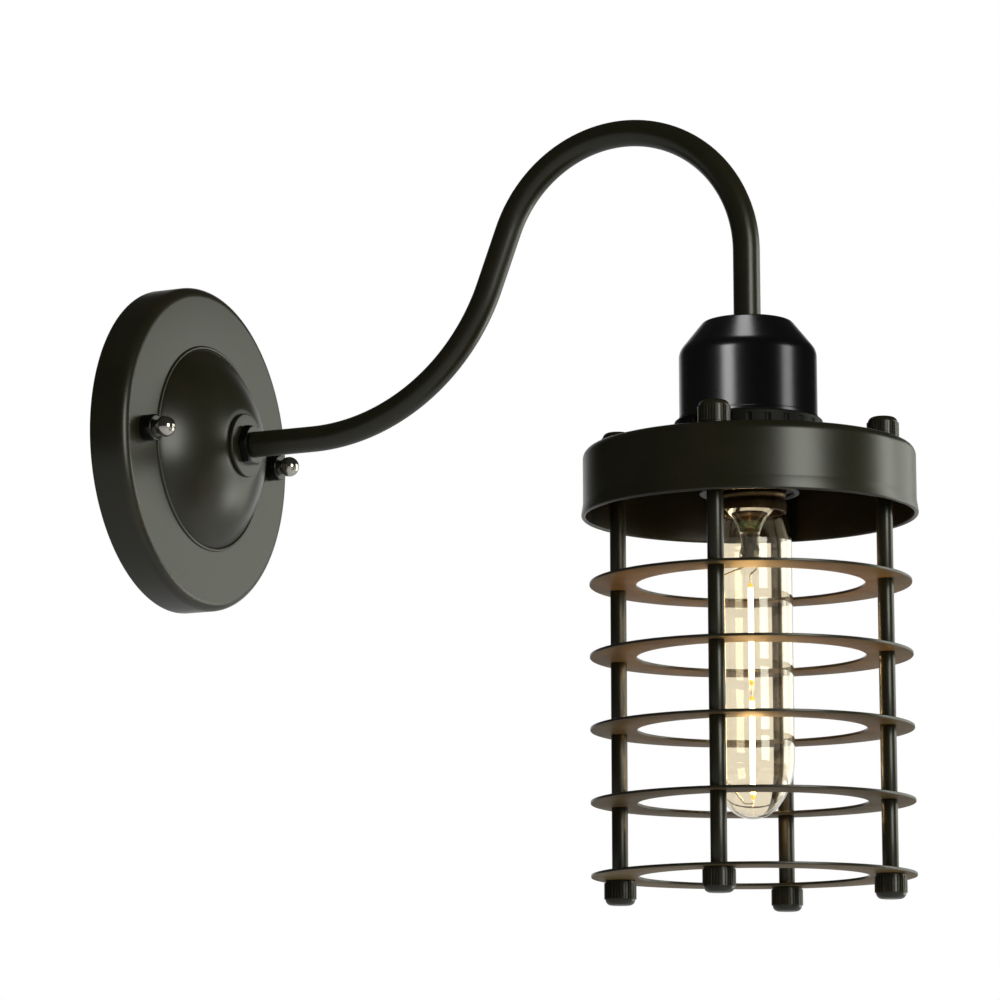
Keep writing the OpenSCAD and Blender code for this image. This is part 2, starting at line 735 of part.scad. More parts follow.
module shade_ring(h) {
    grips = 24;
    difference() {
        rotate_extrude() rounded([[skirt_d / 2 - 3, 0], [shade_ring_d / 2, 0], [shade_ring_d / 2, h],
            [skirt_d / 2 - 3, h]], [0, 0.5, 0.5, 0]);
        translate([0, 0, -1]) cylinder(d = skirt_d + 2 * fit_gap, h = h + 2);
        for (i = [0:grips - 1]) rotate([0, 0, (i + 0.5) * 360 / grips])
            translate([shade_ring_d / 2 + 0.9, 0, 1.4]) cylinder(r = 1.5, h = h - 2.8, $fn = 24);
    }
}

module upper_shade_ring() { color(black) on_lamp(dish_top) shade_ring(upper_ring_h); }
module lower_shade_ring() {
    color(black) on_lamp(dish_top - dish_sheet - lower_ring_h) shade_ring(lower_ring_h);
}

// ---- shade dish and ring cage ----
module dish_outline(inset) {
    r = dish_d / 2 - inset;
    lip = lip_d / 2 - inset;
    top = dish_top - inset;
    foot = dish_foot - inset;
    rounded([[0, foot], [lip, foot], [r, dish_foot + lip_h], [r, top], [0, top]],
        [0, 0, 0, dish_corner - inset, 0]);
}

module shade_dish() {
    hem = 0.8;
    color(iron) on_lamp() difference() {
        union() {
            difference() {
                rotate_extrude() dish_outline(0);
                rotate_extrude() dish_outline(dish_sheet);
            }
            translate([0, 0, dish_foot + hem]) rotate_extrude() translate([lip_d / 2 - hem, 0]) circle(hem);
        }
        translate([0, 0, dish_top - 5]) cylinder(d = skirt_d + 2 * fit_gap, h = 10);
        translate([0, 0, dish_top - 5]) at_rods() cylinder(d = rod_hole_d, h = 10);
    }
}

module cage_ring(i) {
    color(iron) on_lamp(dish_foot - first_drop - (i - 1) * ring_pitch) difference() {
        ring(ring_d, ring_hole_d, ring_t);
        at_rods() translate([0, 0, -1]) cylinder(d = rod_hole_d, h = ring_t + 2);
    }
}
module cage_ring_1() { cage_ring(1); }
module cage_ring_2() { cage_ring(2); }
module cage_ring_3() { cage_ring(3); }
module cage_ring_4() { cage_ring(4); }
module cage_ring_5() { cage_ring(5); }

module tie_rods() { color(zinc) on_lamp(rod_foot) at_rods() cylinder(d = rod_d, h = rod_top - rod_foot); }

module long_spacers() {
    foot = dish_foot - first_drop + ring_t;
    color(iron) on_lamp(foot) at_rods() ring(spacer_d, rod_d + 2 * fit_gap, dish_top - dish_sheet - foot);
}

module short_spacers() {
    color(iron) for (i = [1:ring_count - 1])
        on_lamp(dish_foot - first_drop - i * ring_pitch + ring_t) at_rods()
            ring(spacer_d, rod_d + 2 * fit_gap, ring_pitch - ring_t);
}

// Closed round nut: a turned body with a rounded end and a band of straight knurls
module knurled_nut() {
    r = knurl_d / 2;
    depth = 0.4;
    body_r = r - 0.6;
    plain = 0.9;
    dome = 2.2;
    pitch = 360 / knurl_count;
    difference() {
        union() {
            rotate_extrude() rounded([[0, 0], [body_r, 0], [body_r, knurl_h], [0, knurl_h]],
                [0, 0.3, dome, 0]);
            translate([0, 0, plain]) linear_extrude(knurl_h - plain - dome)
                polygon([for (i = [0:knurl_count - 1], e = [-0.2, 0.2, 0.5])
                    let (q = e == 0.5 ? r - depth : r) q * [cos((i + e) * pitch), sin((i + e) * pitch)]]);
        }
        translate([0, 0, -1]) cylinder(d = rod_d + 2 * fit_gap, h = nut_bore_h + 1);
    }
}

module top_knurled_nuts() { color(iron) on_lamp(dish_top) at_rods() knurled_nut(); }
module bottom_knurled_nuts() { color(iron) on_lamp(last_ring) at_rods() mirror([0, 0, 1]) knurled_nut(); }

// ---- bulb ----
module bulb_cap() {
    r = cap_d / 2;
    edge = 1.2;
    color(brass) on_lamp(cap_foot) difference() {
        rotate_extrude() rounded([[0, 0], [r, 0], [r, shell_len], [0, shell_len]], [0, 0, edge, 0]);
        translate([0, 0, -1]) cylinder(r = r - cap_wall, h = shell_len - edge + 1);
        cylinder(r = r - cap_rim, h = 40);
    }
}

module cap_insulator() {
    r = cap_d / 2 - cap_rim;
    color(black) on_lamp(cap_foot + shell_len) rotate_extrude()
        polygon([[0, insulator_h], [0, 0.8], [r - 2, -1], [r, -1], [r, 0.3], [5, insulator_h]]);
}

module cap_contact() {
    color(nickel) on_lamp(cap_top - contact_h) rotate_extrude()
        rounded([[0, 0], [4.6, 0], [4.6, contact_h], [0, contact_h]], [0, 0, contact_h * 0.45, 0]);
}

module driver_board() {
    color("darkgreen") on_lamp(cap_foot + 10) {
        cylinder(r = cap_d / 2 - cap_wall, h = 1);
        translate([-2, 3.5, 0]) cylinder(d = 6, h = 7);
        translate([-6, -7, 0]) cube([5, 4, 3]);
        translate([2, -6, 0]) cube([4, 6, 2.4]);
    }
}

// Straight body on a two-arc pointed end; the side arc and the tip arc share a tangent
module glass_outline(inset, top) {
    r = glass_d / 2 - inset;
    neck = neck_r - inset;
    straight = glass_foot + end_h;
    share = (end_h - tip_r) / (end_side_r - tip_r);
    joint = (end_side_r - inset) * share;
    intersection() {
        rounded([[0, straight], [r, straight], [r, cap_foot - shoulder_h], [neck, cap_foot - 1], [neck, top],
            [0, top]], [0, 0, 8 - inset, 0, 0, 0]);
        translate([0, straight]) square([r, top - straight]);
    }
    intersection() {
        translate([-end_shift, straight]) circle(end_side_r - inset - step);
        translate([0, straight - joint]) square([r, joint + eps]);
    }
    intersection() {
        translate([0, glass_foot + tip_r]) circle(tip_r - inset);
        translate([0, glass_foot]) square([tip_r, end_h]);
    }
}

module bulb_glass() {
    color(glass) on_lamp() rotate_extrude() difference() {
        glass_outline(0, cap_foot + neck_in);
        glass_outline(glass_t, cap_foot + neck_in + 1);
    }
}

module bulb_stem() {
    flare_r = neck_r - glass_t;
    color(glass) on_lamp() {
        rotate_extrude() polygon([[0, cap_foot + 4], [flare_r, cap_foot + 4], [flare_r, cap_foot + 3],
            [6, cap_foot - 2], [3.2, cap_foot - 8], [3.2, stem_foot + 5], [0, stem_foot + 5]]);
        rotate([0, 0, wire_angle]) {
            translate([-2.4, -1.6, stem_foot]) cube([4.8, 3.2, 6]);
            for (s = [-1, 1]) translate([s * 2.4, 0, stem_foot]) cylinder(r = 1.6, h = 6);
        }
    }
}

module bulb_wires() {
    lead_x = 2.4;
    bend_h = glass_foot + 14;
    tip = filament_foot - 1;
    color(nickel) on_lamp() rotate([0, 0, wire_angle]) {
        bent_rod([[-lead_x, 0, stem_foot], [-lead_x, 0, stem_foot - 2], [0, 0, filament_top + 3],
            [0, 0, filament_top]], lead_r, 1);
        bent_rod([[lead_x, 0, stem_foot], [lead_x, 0, stem_foot - 1.5], [wire_out, 0, stem_foot - 4.5],
            [wire_out, 0, bend_h], [3, 0, tip], [0, 0, tip], [0, 0, filament_foot]], lead_r, 0.5);
        rod([0, 0, filament_top - filament_len - filament_gap], [0, 0, filament_top - filament_len], lead_r);
    }
}

module filaments() {
    color("gold") on_lamp() for (top = [filament_top, filament_top - filament_len - filament_gap])
        translate([0, 0, top - filament_len]) cylinder(d = filament_d, h = filament_len);
}

wall_bracket();
bracket_studs();
stud_lock_nuts();
terminal_block();
terminal_inserts();
terminal_screws();
block_screw();
earth_tag();
earth_screw();
canopy();
stud_sleeves();
ball_nuts();
boss_washer();
arm_outer_nut();
arm_lock_washer();
arm_inner_nut();
arm_tube();
tube_bushes();
live_wire();
neutral_wire();
earth_wire();
cup_nut();
lamp_cup();
holder_cap();
holder_core();
holder_terminals();
holder_screws();
holder_skirt();
screw_shell();
centre_contact();
upper_shade_ring();
lower_shade_ring();
shade_dish();
tie_rods();
long_spacers();
short_spacers();
cage_ring_1();
cage_ring_2();
cage_ring_3();
cage_ring_4();
cage_ring_5();
top_knurled_nuts();
bottom_knurled_nuts();
bulb_cap();
cap_insulator();
cap_contact();
driver_board();
bulb_glass();
bulb_stem();
bulb_wires();
filaments();
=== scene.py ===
import math
import bmesh
import bpy
from mathutils import Matrix, Vector


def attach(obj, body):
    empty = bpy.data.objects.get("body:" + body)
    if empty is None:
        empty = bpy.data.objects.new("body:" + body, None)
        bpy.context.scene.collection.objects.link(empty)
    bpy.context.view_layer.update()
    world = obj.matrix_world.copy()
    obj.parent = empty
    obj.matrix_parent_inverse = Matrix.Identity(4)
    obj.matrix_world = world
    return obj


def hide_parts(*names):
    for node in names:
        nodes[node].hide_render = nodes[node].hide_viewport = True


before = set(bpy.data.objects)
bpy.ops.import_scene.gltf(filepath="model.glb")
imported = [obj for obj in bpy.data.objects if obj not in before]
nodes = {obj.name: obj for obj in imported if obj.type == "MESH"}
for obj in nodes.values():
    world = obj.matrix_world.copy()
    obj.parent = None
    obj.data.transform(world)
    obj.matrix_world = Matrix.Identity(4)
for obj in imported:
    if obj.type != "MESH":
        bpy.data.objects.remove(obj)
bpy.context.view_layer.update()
mm = 0.001
print("frame loaded,", len(nodes), "nodes")

# camera at the photograph's place; bearings below are degrees to the right of it, seen from the lamp
photoView = {"azimuth": -63.883, "elevation": -9.7573, "roll": -0.1113, "lens": 145.96,
             "place": (-1.3223, -0.7872, -0.2827)}


def placeCamera(view):
    azimuth, elevation, roll = (math.radians(view[k]) for k in ("azimuth", "elevation", "roll"))
    backward = Vector((math.sin(azimuth) * math.cos(elevation), -math.cos(azimuth) * math.cos(elevation),
                       math.sin(elevation)))
    right = (-backward).cross(Vector((0, 0, 1))).normalized()
    up = backward.cross(right)
    tiltedRight = math.cos(roll) * right + math.sin(roll) * up
    tiltedUp = math.cos(roll) * up - math.sin(roll) * right
    bpy.ops.object.camera_add(location=view["place"])
    camera = bpy.context.object
    camera.name = "photoCamera"
    camera.matrix_world = Matrix.Translation(view["place"]) @ Matrix(
        (tiltedRight, tiltedUp, backward)).transposed().to_4x4()
    camera.data.sensor_width = 36
    camera.data.lens = view["lens"]
    camera.data.clip_start = 0.05
    camera.data.clip_end = 50
    bpy.context.scene.camera = camera
    return right, -Vector((-backward.x, -backward.y, 0)).normalized()


cameraRight, cameraWard = placeCamera(photoView)
print("camera placed")


# modelling steps shared by the pieces
def startFresh():
    if bpy.context.object and bpy.context.object.mode != "OBJECT":
        bpy.ops.object.mode_set(mode="OBJECT")
    bpy.ops.object.select_all(action="DESELECT")


def pick(piece):
    startFresh()
    piece.select_set(True)
    bpy.context.view_layer.objects.active = piece


def arcPoints(centre, radius, first, last, steps):
    return [(centre[0] + radius * math.cos(math.radians(first + (last - first) * i / steps)),
             centre[1] + radius * math.sin(math.radians(first + (last - first) * i / steps)))
            for i in range(steps + 1)]


def softened(points, steps=5):  # a third number in a point rounds that corner
    drawn = []
    for i, point in enumerate(points):
        here = Vector(point[:2])
        if len(point) < 3:
            drawn.append(tuple(here))
            continue
        toLast = (Vector(points[i - 1][:2]) - here).normalized()
        toNext = (Vector(points[(i + 1) % len(points)][:2]) - here).normalized()
        half = toLast.angle(toNext) / 2
        centre = here + (toLast + toNext).normalized() * point[2] / math.sin(half)
        first, last = (here + side * point[2] / math.tan(half) - centre for side in (toLast, toNext))
        sweep = math.pi - 2 * half
        for k in range(steps + 1):
            share = k / steps
            drawn.append(tuple(centre + (first * math.sin((1 - share) * sweep)
                                         + last * math.sin(share * sweep)) / math.sin(sweep)))
    return drawn


def drawOutline(name, points):  # a line of vertices in the XZ plane, as (radius, height) in mm
    startFresh()
    bpy.ops.mesh.primitive_plane_add(size=mm)
    piece = bpy.context.object
    piece.name = piece.data.name = name
    bpy.ops.object.mode_set(mode="EDIT")
    shape = bmesh.from_edit_mesh(piece.data)
    for face in shape.faces:
        face.select_set(False)
    shape.verts.ensure_lookup_table()
    for vertex in shape.verts[1:]:
        vertex.select_set(True)
    bmesh.update_edit_mesh(piece.data)
    bpy.ops.mesh.delete(type="VERT")
    bpy.ops.mesh.select_all(action="SELECT")
    corner = bmesh.from_edit_mesh(piece.data).verts
    corner.ensure_lookup_table()
    bpy.ops.transform.translate(value=Vector((points[0][0], 0, points[0][1])) * mm - corner[0].co)
    for (r0, z0), (r1, z1) in zip(points, points[1:]):
        bpy.ops.mesh.extrude_vertices_move(
            TRANSFORM_OT_translate={"value": ((r1 - r0) * mm, 0, (z1 - z0) * mm)})
    return piece


def smooth(piece, angle=38):
    pick(piece)
    bpy.ops.object.shade_smooth_by_angle(angle=math.radians(angle))
    return piece


def turned(name, points, sides=96, closed=True, angle=38):
    piece = drawOutline(name, list(points) + ([points[0]] if closed else []))
    bpy.ops.mesh.select_all(action="SELECT")
    bpy.ops.mesh.spin(steps=sides, angle=2 * math.pi, center=(0, 0, 0), axis=(0, 0, 1))
    bpy.ops.mesh.select_all(action="SELECT")
    bpy.ops.mesh.remove_doubles(threshold=2e-6)
    bpy.ops.mesh.normals_make_consistent(inside=False)
    return smooth(piece, angle)


def putPlace(piece, move=(0, 0, 0), turn=(0, 0, 0)):  # the place ends up in the mesh
    pick(piece)
    piece.location = Vector(move) * mm
    piece.rotation_euler = [math.radians(a) for a in turn]
    bpy.ops.object.transform_apply(location=True, rotation=True, scale=True)
    return piece


def twin(piece, name, move=(0, 0, 0), turn=(0, 0, 0)):
    pick(piece)
    bpy.ops.object.duplicate()
    other = bpy.context.object
    other.name = other.data.name = name
    return putPlace(other, move, turn)


def applyModifier(piece, kind, **settings):
    pick(piece)
    modifier = piece.modifiers.new(kind.lower(), kind)
    for key, value in settings.items():
        setattr(modifier, key, value)
    bpy.ops.object.modifier_apply(modifier=modifier.name)
    return piece


def drill(piece, spots, radius, low, high, angle=38):  # straight holes along Z through a turned piece
    startFresh()
    for x, y in spots:
        bpy.ops.mesh.primitive_cylinder_add(vertices=32, radius=radius * mm, depth=(high - low) * mm,
                                            location=(x * mm, y * mm, (low + high) / 2 * mm))
        cutter = bpy.context.object
        applyModifier(piece, "BOOLEAN", operation="DIFFERENCE", solver="EXACT", object=cutter)
        pick(cutter)
        bpy.ops.object.delete()
    return smooth(piece, angle)


def finish(piece, body, material, slot, *stoodFor):
    piece.data.materials.clear()
    piece.data.materials.append(material)
    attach(piece, body)
    if stoodFor:
        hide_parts(*stoodFor)
    return piece


# effects that several finishes share
def shaderGroup(name, inputs, outputs):
    group = bpy.data.node_groups.new(name, "ShaderNodeTree")
    kinds = {"value": "NodeSocketFloat", "color": "NodeSocketColor", "vector": "NodeSocketVector"}
    for label, kind, value in inputs:
        socket = group.interface.new_socket(name=label, in_out="INPUT", socket_type=kinds[kind])
        if value is not None:
            socket.default_value = value
    for label, kind in outputs:
        group.interface.new_socket(name=label, in_out="OUTPUT", socket_type=kinds[kind])
    return group, group.nodes.new("NodeGroupInput"), group.nodes.new("NodeGroupOutput")


def noise(tree, vector, scale, detail=3.0, rough=0.5):
    node = tree.nodes.new("ShaderNodeTexNoise")
    tree.links.new(vector, node.inputs["Vector"])
    feed(tree, scale, node.inputs["Scale"])
    node.inputs["Detail"].default_value = detail
    node.inputs["Roughness"].default_value = rough
    return node.outputs["Fac"]


def feed(tree, value, socket):
    if isinstance(value, bpy.types.NodeSocket):
        tree.links.new(value, socket)
    else:
        socket.default_value = value


def maths(tree, kind, first, second=0.5, third=0.5):
    node = tree.nodes.new("ShaderNodeMath")
    node.operation = kind
    for value, socket in zip((first, second, third), node.inputs):
        feed(tree, value, socket)
    return node.outputs[0]


def spread(tree, value, low, high, toLow=0.0, toHigh=1.0):
    node = tree.nodes.new("ShaderNodeMapRange")
    node.interpolation_type = "SMOOTHSTEP"
    for label, number in (("Value", value), ("From Min", low), ("From Max", high), ("To Min", toLow),
                          ("To Max", toHigh)):
        feed(tree, number, node.inputs[label])
    return node.outputs["Result"]


def blendColors(tree, share, first, second):
    node = tree.nodes.new("ShaderNodeMix")
    node.data_type = "RGBA"
    feed(tree, share, node.inputs["Factor"])
    feed(tree, first, node.inputs[6])  # 6, 7 and 2 are the node's colour sockets
    feed(tree, second, node.inputs[7])
    return node.outputs[2]


def buildSurfaceGrain():
    group, given, made = shaderGroup("surfaceGrain", [
        ("Vector", "vector", None), ("Color", "color", (0.1, 0.1, 0.1, 1)),
        ("Second Color", "color", (0.1, 0.1, 0.1, 1)), ("Mottle Scale", "value", 40.0),
        ("Mottle", "value", 0.5), ("Grain Scale", "value", 1500.0), ("Roughness", "value", 0.4),
        ("Rough Spread", "value", 0.1)],
        [("Color", "color"), ("Roughness", "value"), ("Height", "value")])
    vector = given.outputs["Vector"]
    patches = noise(group, vector, given.outputs["Mottle Scale"], 5.0, 0.6)
    grain = noise(group, vector, given.outputs["Grain Scale"], 2.0, 0.5)
    share = maths(group, "MULTIPLY", spread(group, patches, 0.35, 0.68), given.outputs["Mottle"])
    color = blendColors(group, share, given.outputs["Color"], given.outputs["Second Color"])
    around = maths(group, "SUBTRACT", maths(group, "ADD", maths(group, "MULTIPLY", patches, 0.7),
                                            maths(group, "MULTIPLY", grain, 0.3)), 0.5)
    rough = maths(group, "MULTIPLY_ADD", around, given.outputs["Rough Spread"], given.outputs["Roughness"])
    group.links.new(color, made.inputs["Color"])
    group.links.new(rough, made.inputs["Roughness"])
    group.links.new(maths(group, "ADD", grain, maths(group, "MULTIPLY", patches, 0.6)),
                    made.inputs["Height"])
    return group


wearShape = {"radius": 0.35, "sharp": 0.80, "flat": 0.98, "patchLow": 0.38, "patchHigh": 0.62, "samples": 6}


def buildEdgeWear(s):  # a sharp edge is where the rounded normal leaves the plain one
    group, given, made = shaderGroup("edgeWear", [
        ("Vector", "vector", None), ("Color", "color", (0.1, 0.1, 0.1, 1)),
        ("Bare Color", "color", (0.3, 0.25, 0.2, 1)), ("Roughness", "value", 0.4),
        ("Bare Roughness", "value", 0.3), ("Break Scale", "value", 200.0), ("Amount", "value", 0.5)],
        [("Color", "color"), ("Roughness", "value")])
    rounded = group.nodes.new("ShaderNodeBevel")
    rounded.samples = s["samples"]
    rounded.inputs["Radius"].default_value = s["radius"] * mm
    turn = group.nodes.new("ShaderNodeVectorMath")
    turn.operation = "DOT_PRODUCT"
    group.links.new(rounded.outputs["Normal"], turn.inputs[0])
    group.links.new(group.nodes.new("ShaderNodeNewGeometry").outputs["Normal"], turn.inputs[1])
    broken = noise(group, given.outputs["Vector"], given.outputs["Break Scale"], 4.0, 0.65)
    patches = spread(group, broken, s["patchLow"], s["patchHigh"])
    mask = maths(group, "MULTIPLY", spread(group, turn.outputs["Value"], s["flat"], s["sharp"]),
                 maths(group, "MULTIPLY", patches, given.outputs["Amount"]))
    group.links.new(blendColors(group, mask, given.outputs["Color"], given.outputs["Bare Color"]),
                    made.inputs["Color"])
    gap = maths(group, "SUBTRACT", given.outputs["Bare Roughness"], given.outputs["Roughness"])
    group.links.new(maths(group, "MULTIPLY_ADD", mask, gap, given.outputs["Roughness"]),
                    made.inputs["Roughness"])
    return group


def buildDrawnMetal():
    group, given, made = shaderGroup("drawnMetal", [
        ("Vector", "vector", None), ("Color", "color", (0.6, 0.6, 0.6, 1)),
        ("Dull Color", "color", (0.4, 0.4, 0.4, 1)), ("Line Scale", "value", 900.0),
        ("Stretch", "vector", (1.0, 1.0, 0.04)), ("Tarnish", "value", 0.4), ("Roughness", "value", 0.25),
        ("Rough Spread", "value", 0.15)],
        [("Color", "color"), ("Roughness", "value"), ("Height", "value")])
    drawn = group.nodes.new("ShaderNodeVectorMath")
    drawn.operation = "MULTIPLY"
    group.links.new(given.outputs["Vector"], drawn.inputs[0])
    group.links.new(given.outputs["Stretch"], drawn.inputs[1])
    lines = noise(group, drawn.outputs[0], given.outputs["Line Scale"], 3.0, 0.6)
    stains = noise(group, given.outputs["Vector"], 110.0, 5.0, 0.62)
    share = maths(group, "MULTIPLY", spread(group, stains, 0.42, 0.7), given.outputs["Tarnish"])
    group.links.new(blendColors(group, share, given.outputs["Color"], given.outputs["Dull Color"]),
                    made.inputs["Color"])
    around = maths(group, "SUBTRACT", maths(group, "ADD", maths(group, "MULTIPLY", lines, 0.5),
                                            maths(group, "MULTIPLY", stains, 0.5)), 0.5)
    group.links.new(maths(group, "MULTIPLY_ADD", around, given.outputs["Rough Spread"],
                          given.outputs["Roughness"]), made.inputs["Roughness"])
    group.links.new(lines, made.inputs["Height"])
    return group


surfaceGrain = buildSurfaceGrain()
edgeWear = buildEdgeWear(wearShape)
drawnMetal = buildDrawnMetal()


def rgb(red, green, blue):
    return (red, green, blue, 1.0)


def place(tree, group, vector, settings):
    node = tree.nodes.new("ShaderNodeGroup")
    node.node_tree = group
    tree.links.new(vector, node.inputs["Vector"])
    for label, value in settings.items():
        feed(tree, value, node.inputs[label])
    return node


def emptyFinish(name, centre=(0, 0, 0)):
    material = bpy.data.materials.new(name)
    material.use_nodes = True
    tree = material.node_tree
    mapping = tree.nodes.new("ShaderNodeMapping")
    mapping.inputs["Location"].default_value = [-c for c in centre]
    tree.links.new(tree.nodes.new("ShaderNodeTexCoord").outputs["Object"], mapping.inputs["Vector"])
    return material, tree, tree.nodes["Principled BSDF"], mapping.outputs["Vector"]


def bump(tree, shader, height, strength, distance):
    node = tree.nodes.new("ShaderNodeBump")
    node.inputs["Strength"].default_value = strength
    node.inputs["Distance"].default_value = distance
    tree.links.new(height, node.inputs["Height"])
    tree.links.new(node.outputs["Normal"], shader.inputs["Normal"])


def coatedFinish(name, look, wear=None):
    material, tree, shader, vector = emptyFinish(name)
    grain = place(tree, surfaceGrain, vector, look["grain"])
    color, rough = grain.outputs["Color"], grain.outputs["Roughness"]
    if wear:
        worn = place(tree, edgeWear, vector, dict(wear, Color=color, Roughness=rough))
        color, rough = worn.outputs["Color"], worn.outputs["Roughness"]
    tree.links.new(color, shader.inputs["Base Color"])
    tree.links.new(rough, shader.inputs["Roughness"])
    bump(tree, shader, grain.outputs["Height"], look["bump"], look["bumpDepth"])
    for label, value in look.get("fixed", {}).items():
        shader.inputs[label].default_value = value
    return material


def metalFinish(name, look):
    material, tree, shader, vector = emptyFinish(name)
    metal = place(tree, drawnMetal, vector, look["metal"])
    tree.links.new(metal.outputs["Color"], shader.inputs["Base Color"])
    tree.links.new(metal.outputs["Roughness"], shader.inputs["Roughness"])
    shader.inputs["Metallic"].default_value = 1.0
    bump(tree, shader, metal.outputs["Height"], look["bump"], look["bumpDepth"])
    return material


paintLook = {
    "grain": {"Color": rgb(0.0120, 0.0118, 0.0042), "Second Color": rgb(0.0180, 0.0145, 0.0055),
              "Mottle Scale": 55.0, "Mottle": 0.7, "Grain Scale": 1700.0, "Roughness": 0.31,
              "Rough Spread": 0.10},
    "bump": 0.12, "bumpDepth": 0.0001, "fixed": {"Specular IOR Level": 0.5}}
paintWear = {"Bare Color": rgb(0.060, 0.045, 0.026), "Bare Roughness": 0.30, "Break Scale": 260.0,
             "Amount": 0.5}
ironPaint = coatedFinish("ironPaint", paintLook, paintWear)

# painted light: a warm tan on the rings' down-facing faces stands in for warm light and reflection falling on
# them from below; the rings' own paint is the dark iron paint
ringUndersideGlowLook = {
    "grain": {"Color": rgb(0.20, 0.130, 0.046), "Second Color": rgb(0.13, 0.082, 0.028),
              "Mottle Scale": 70.0, "Mottle": 0.75, "Grain Scale": 1500.0, "Roughness": 0.5,
              "Rough Spread": 0.16},
    "bump": 0.2, "bumpDepth": 0.00012, "fixed": {"Specular IOR Level": 0.2}}
ringPaint = coatedFinish("ringPaint", ringUndersideGlowLook)

enamelLook = {
    "grain": {"Color": rgb(0.0012, 0.0012, 0.0012), "Second Color": rgb(0.0026, 0.0026, 0.0029),
              "Mottle Scale": 35.0, "Mottle": 0.6, "Grain Scale": 420.0, "Roughness": 0.24,
              "Rough Spread": 0.05},
    "bump": 0.04, "bumpDepth": 0.0001, "fixed": {"Specular IOR Level": 0.5}}
glossEnamel = coatedFinish("glossEnamel", enamelLook,
                           {"Bare Color": rgb(0.03, 0.03, 0.03), "Bare Roughness": 0.26,
                            "Break Scale": 150.0, "Amount": 0.3})

phenolicLook = {
    "grain": {"Color": rgb(0.008, 0.0075, 0.006), "Second Color": rgb(0.015, 0.012, 0.009),
              "Mottle Scale": 90.0, "Mottle": 0.6, "Grain Scale": 900.0, "Roughness": 0.34,
              "Rough Spread": 0.14},
    "bump": 0.12, "bumpDepth": 0.0001, "fixed": {"Specular IOR Level": 0.22}}
blackPhenolic = coatedFinish("blackPhenolic", phenolicLook,
                             {"Bare Color": rgb(0.06, 0.052, 0.045), "Bare Roughness": 0.5,
                              "Break Scale": 220.0, "Amount": 0.4})

# painted shade: the shade rings take a darker, duller black than the lampholder's own phenolic, standing in
# for the shade they sit in between cup and dish
shadeRingPaintedShadeLook = {
    "grain": {"Color": rgb(0.004, 0.004, 0.0035), "Second Color": rgb(0.009, 0.008, 0.006),
              "Mottle Scale": 90.0, "Mottle": 0.6, "Grain Scale": 900.0, "Roughness": 0.55,
              "Rough Spread": 0.14},
    "bump": 0.12, "bumpDepth": 0.0001, "fixed": {"Specular IOR Level": 0.15}}
dullPhenolic = coatedFinish("dullPhenolic", shadeRingPaintedShadeLook)

rubberLook = {
    "grain": {"Color": rgb(0.020, 0.020, 0.020), "Second Color": rgb(0.035, 0.034, 0.032),
              "Mottle Scale": 120.0, "Mottle": 0.7, "Grain Scale": 1300.0, "Roughness": 0.72,
              "Rough Spread": 0.15},
    "bump": 0.25, "bumpDepth": 0.0001}
blackRubber = coatedFinish("blackRubber", rubberLook)

porcelainLook = {
    "grain": {"Color": rgb(0.80, 0.77, 0.69), "Second Color": rgb(0.70, 0.65, 0.55),
              "Mottle Scale": 60.0, "Mottle": 0.5, "Grain Scale": 700.0, "Roughness": 0.2,
              "Rough Spread": 0.1},
    "bump": 0.1, "bumpDepth": 0.0001, "fixed": {"Coat Weight": 0.6, "Coat Roughness": 0.08}}
porcelain = coatedFinish("porcelain", porcelainLook)

boardLook = {
    "grain": {"Color": rgb(0.016, 0.10, 0.045), "Second Color": rgb(0.03, 0.15, 0.06),
              "Mottle Scale": 240.0, "Mottle": 0.7, "Grain Scale": 1500.0, "Roughness": 0.4,
              "Rough Spread": 0.2},
    "bump": 0.2, "bumpDepth": 0.0001}
circuitBoard = coatedFinish("circuitBoard", boardLook)

insulatorLook = {
    "grain": {"Color": rgb(0.012, 0.012, 0.016), "Second Color": rgb(0.03, 0.03, 0.036),
              "Mottle Scale": 150.0, "Mottle": 0.6, "Grain Scale": 600.0, "Roughness": 0.14,
              "Rough Spread": 0.1},
    "bump": 0.15, "bumpDepth": 0.0002}
blackGlass = coatedFinish("blackGlass", insulatorLook)

wireColors = {"brown": (rgb(0.10, 0.042, 0.018), rgb(0.15, 0.065, 0.03)),
              "blue": (rgb(0.02, 0.065, 0.28), rgb(0.035, 0.10, 0.36)),
              "green": (rgb(0.07, 0.22, 0.03), rgb(0.55, 0.42, 0.03))}


def wireFinish(label):
    first, second = wireColors[label]
    look = {"grain": {"Color": first, "Second Color": second,
                      "Mottle Scale": 130.0 if label == "green" else 60.0,
                      "Mottle": 1.0 if label == "green" else 0.5, "Grain Scale": 1400.0,
                      "Roughness": 0.48, "Rough Spread": 0.14},
            "bump": 0.15, "bumpDepth": 0.0001}
    return coatedFinish(label + "Insulation", look)


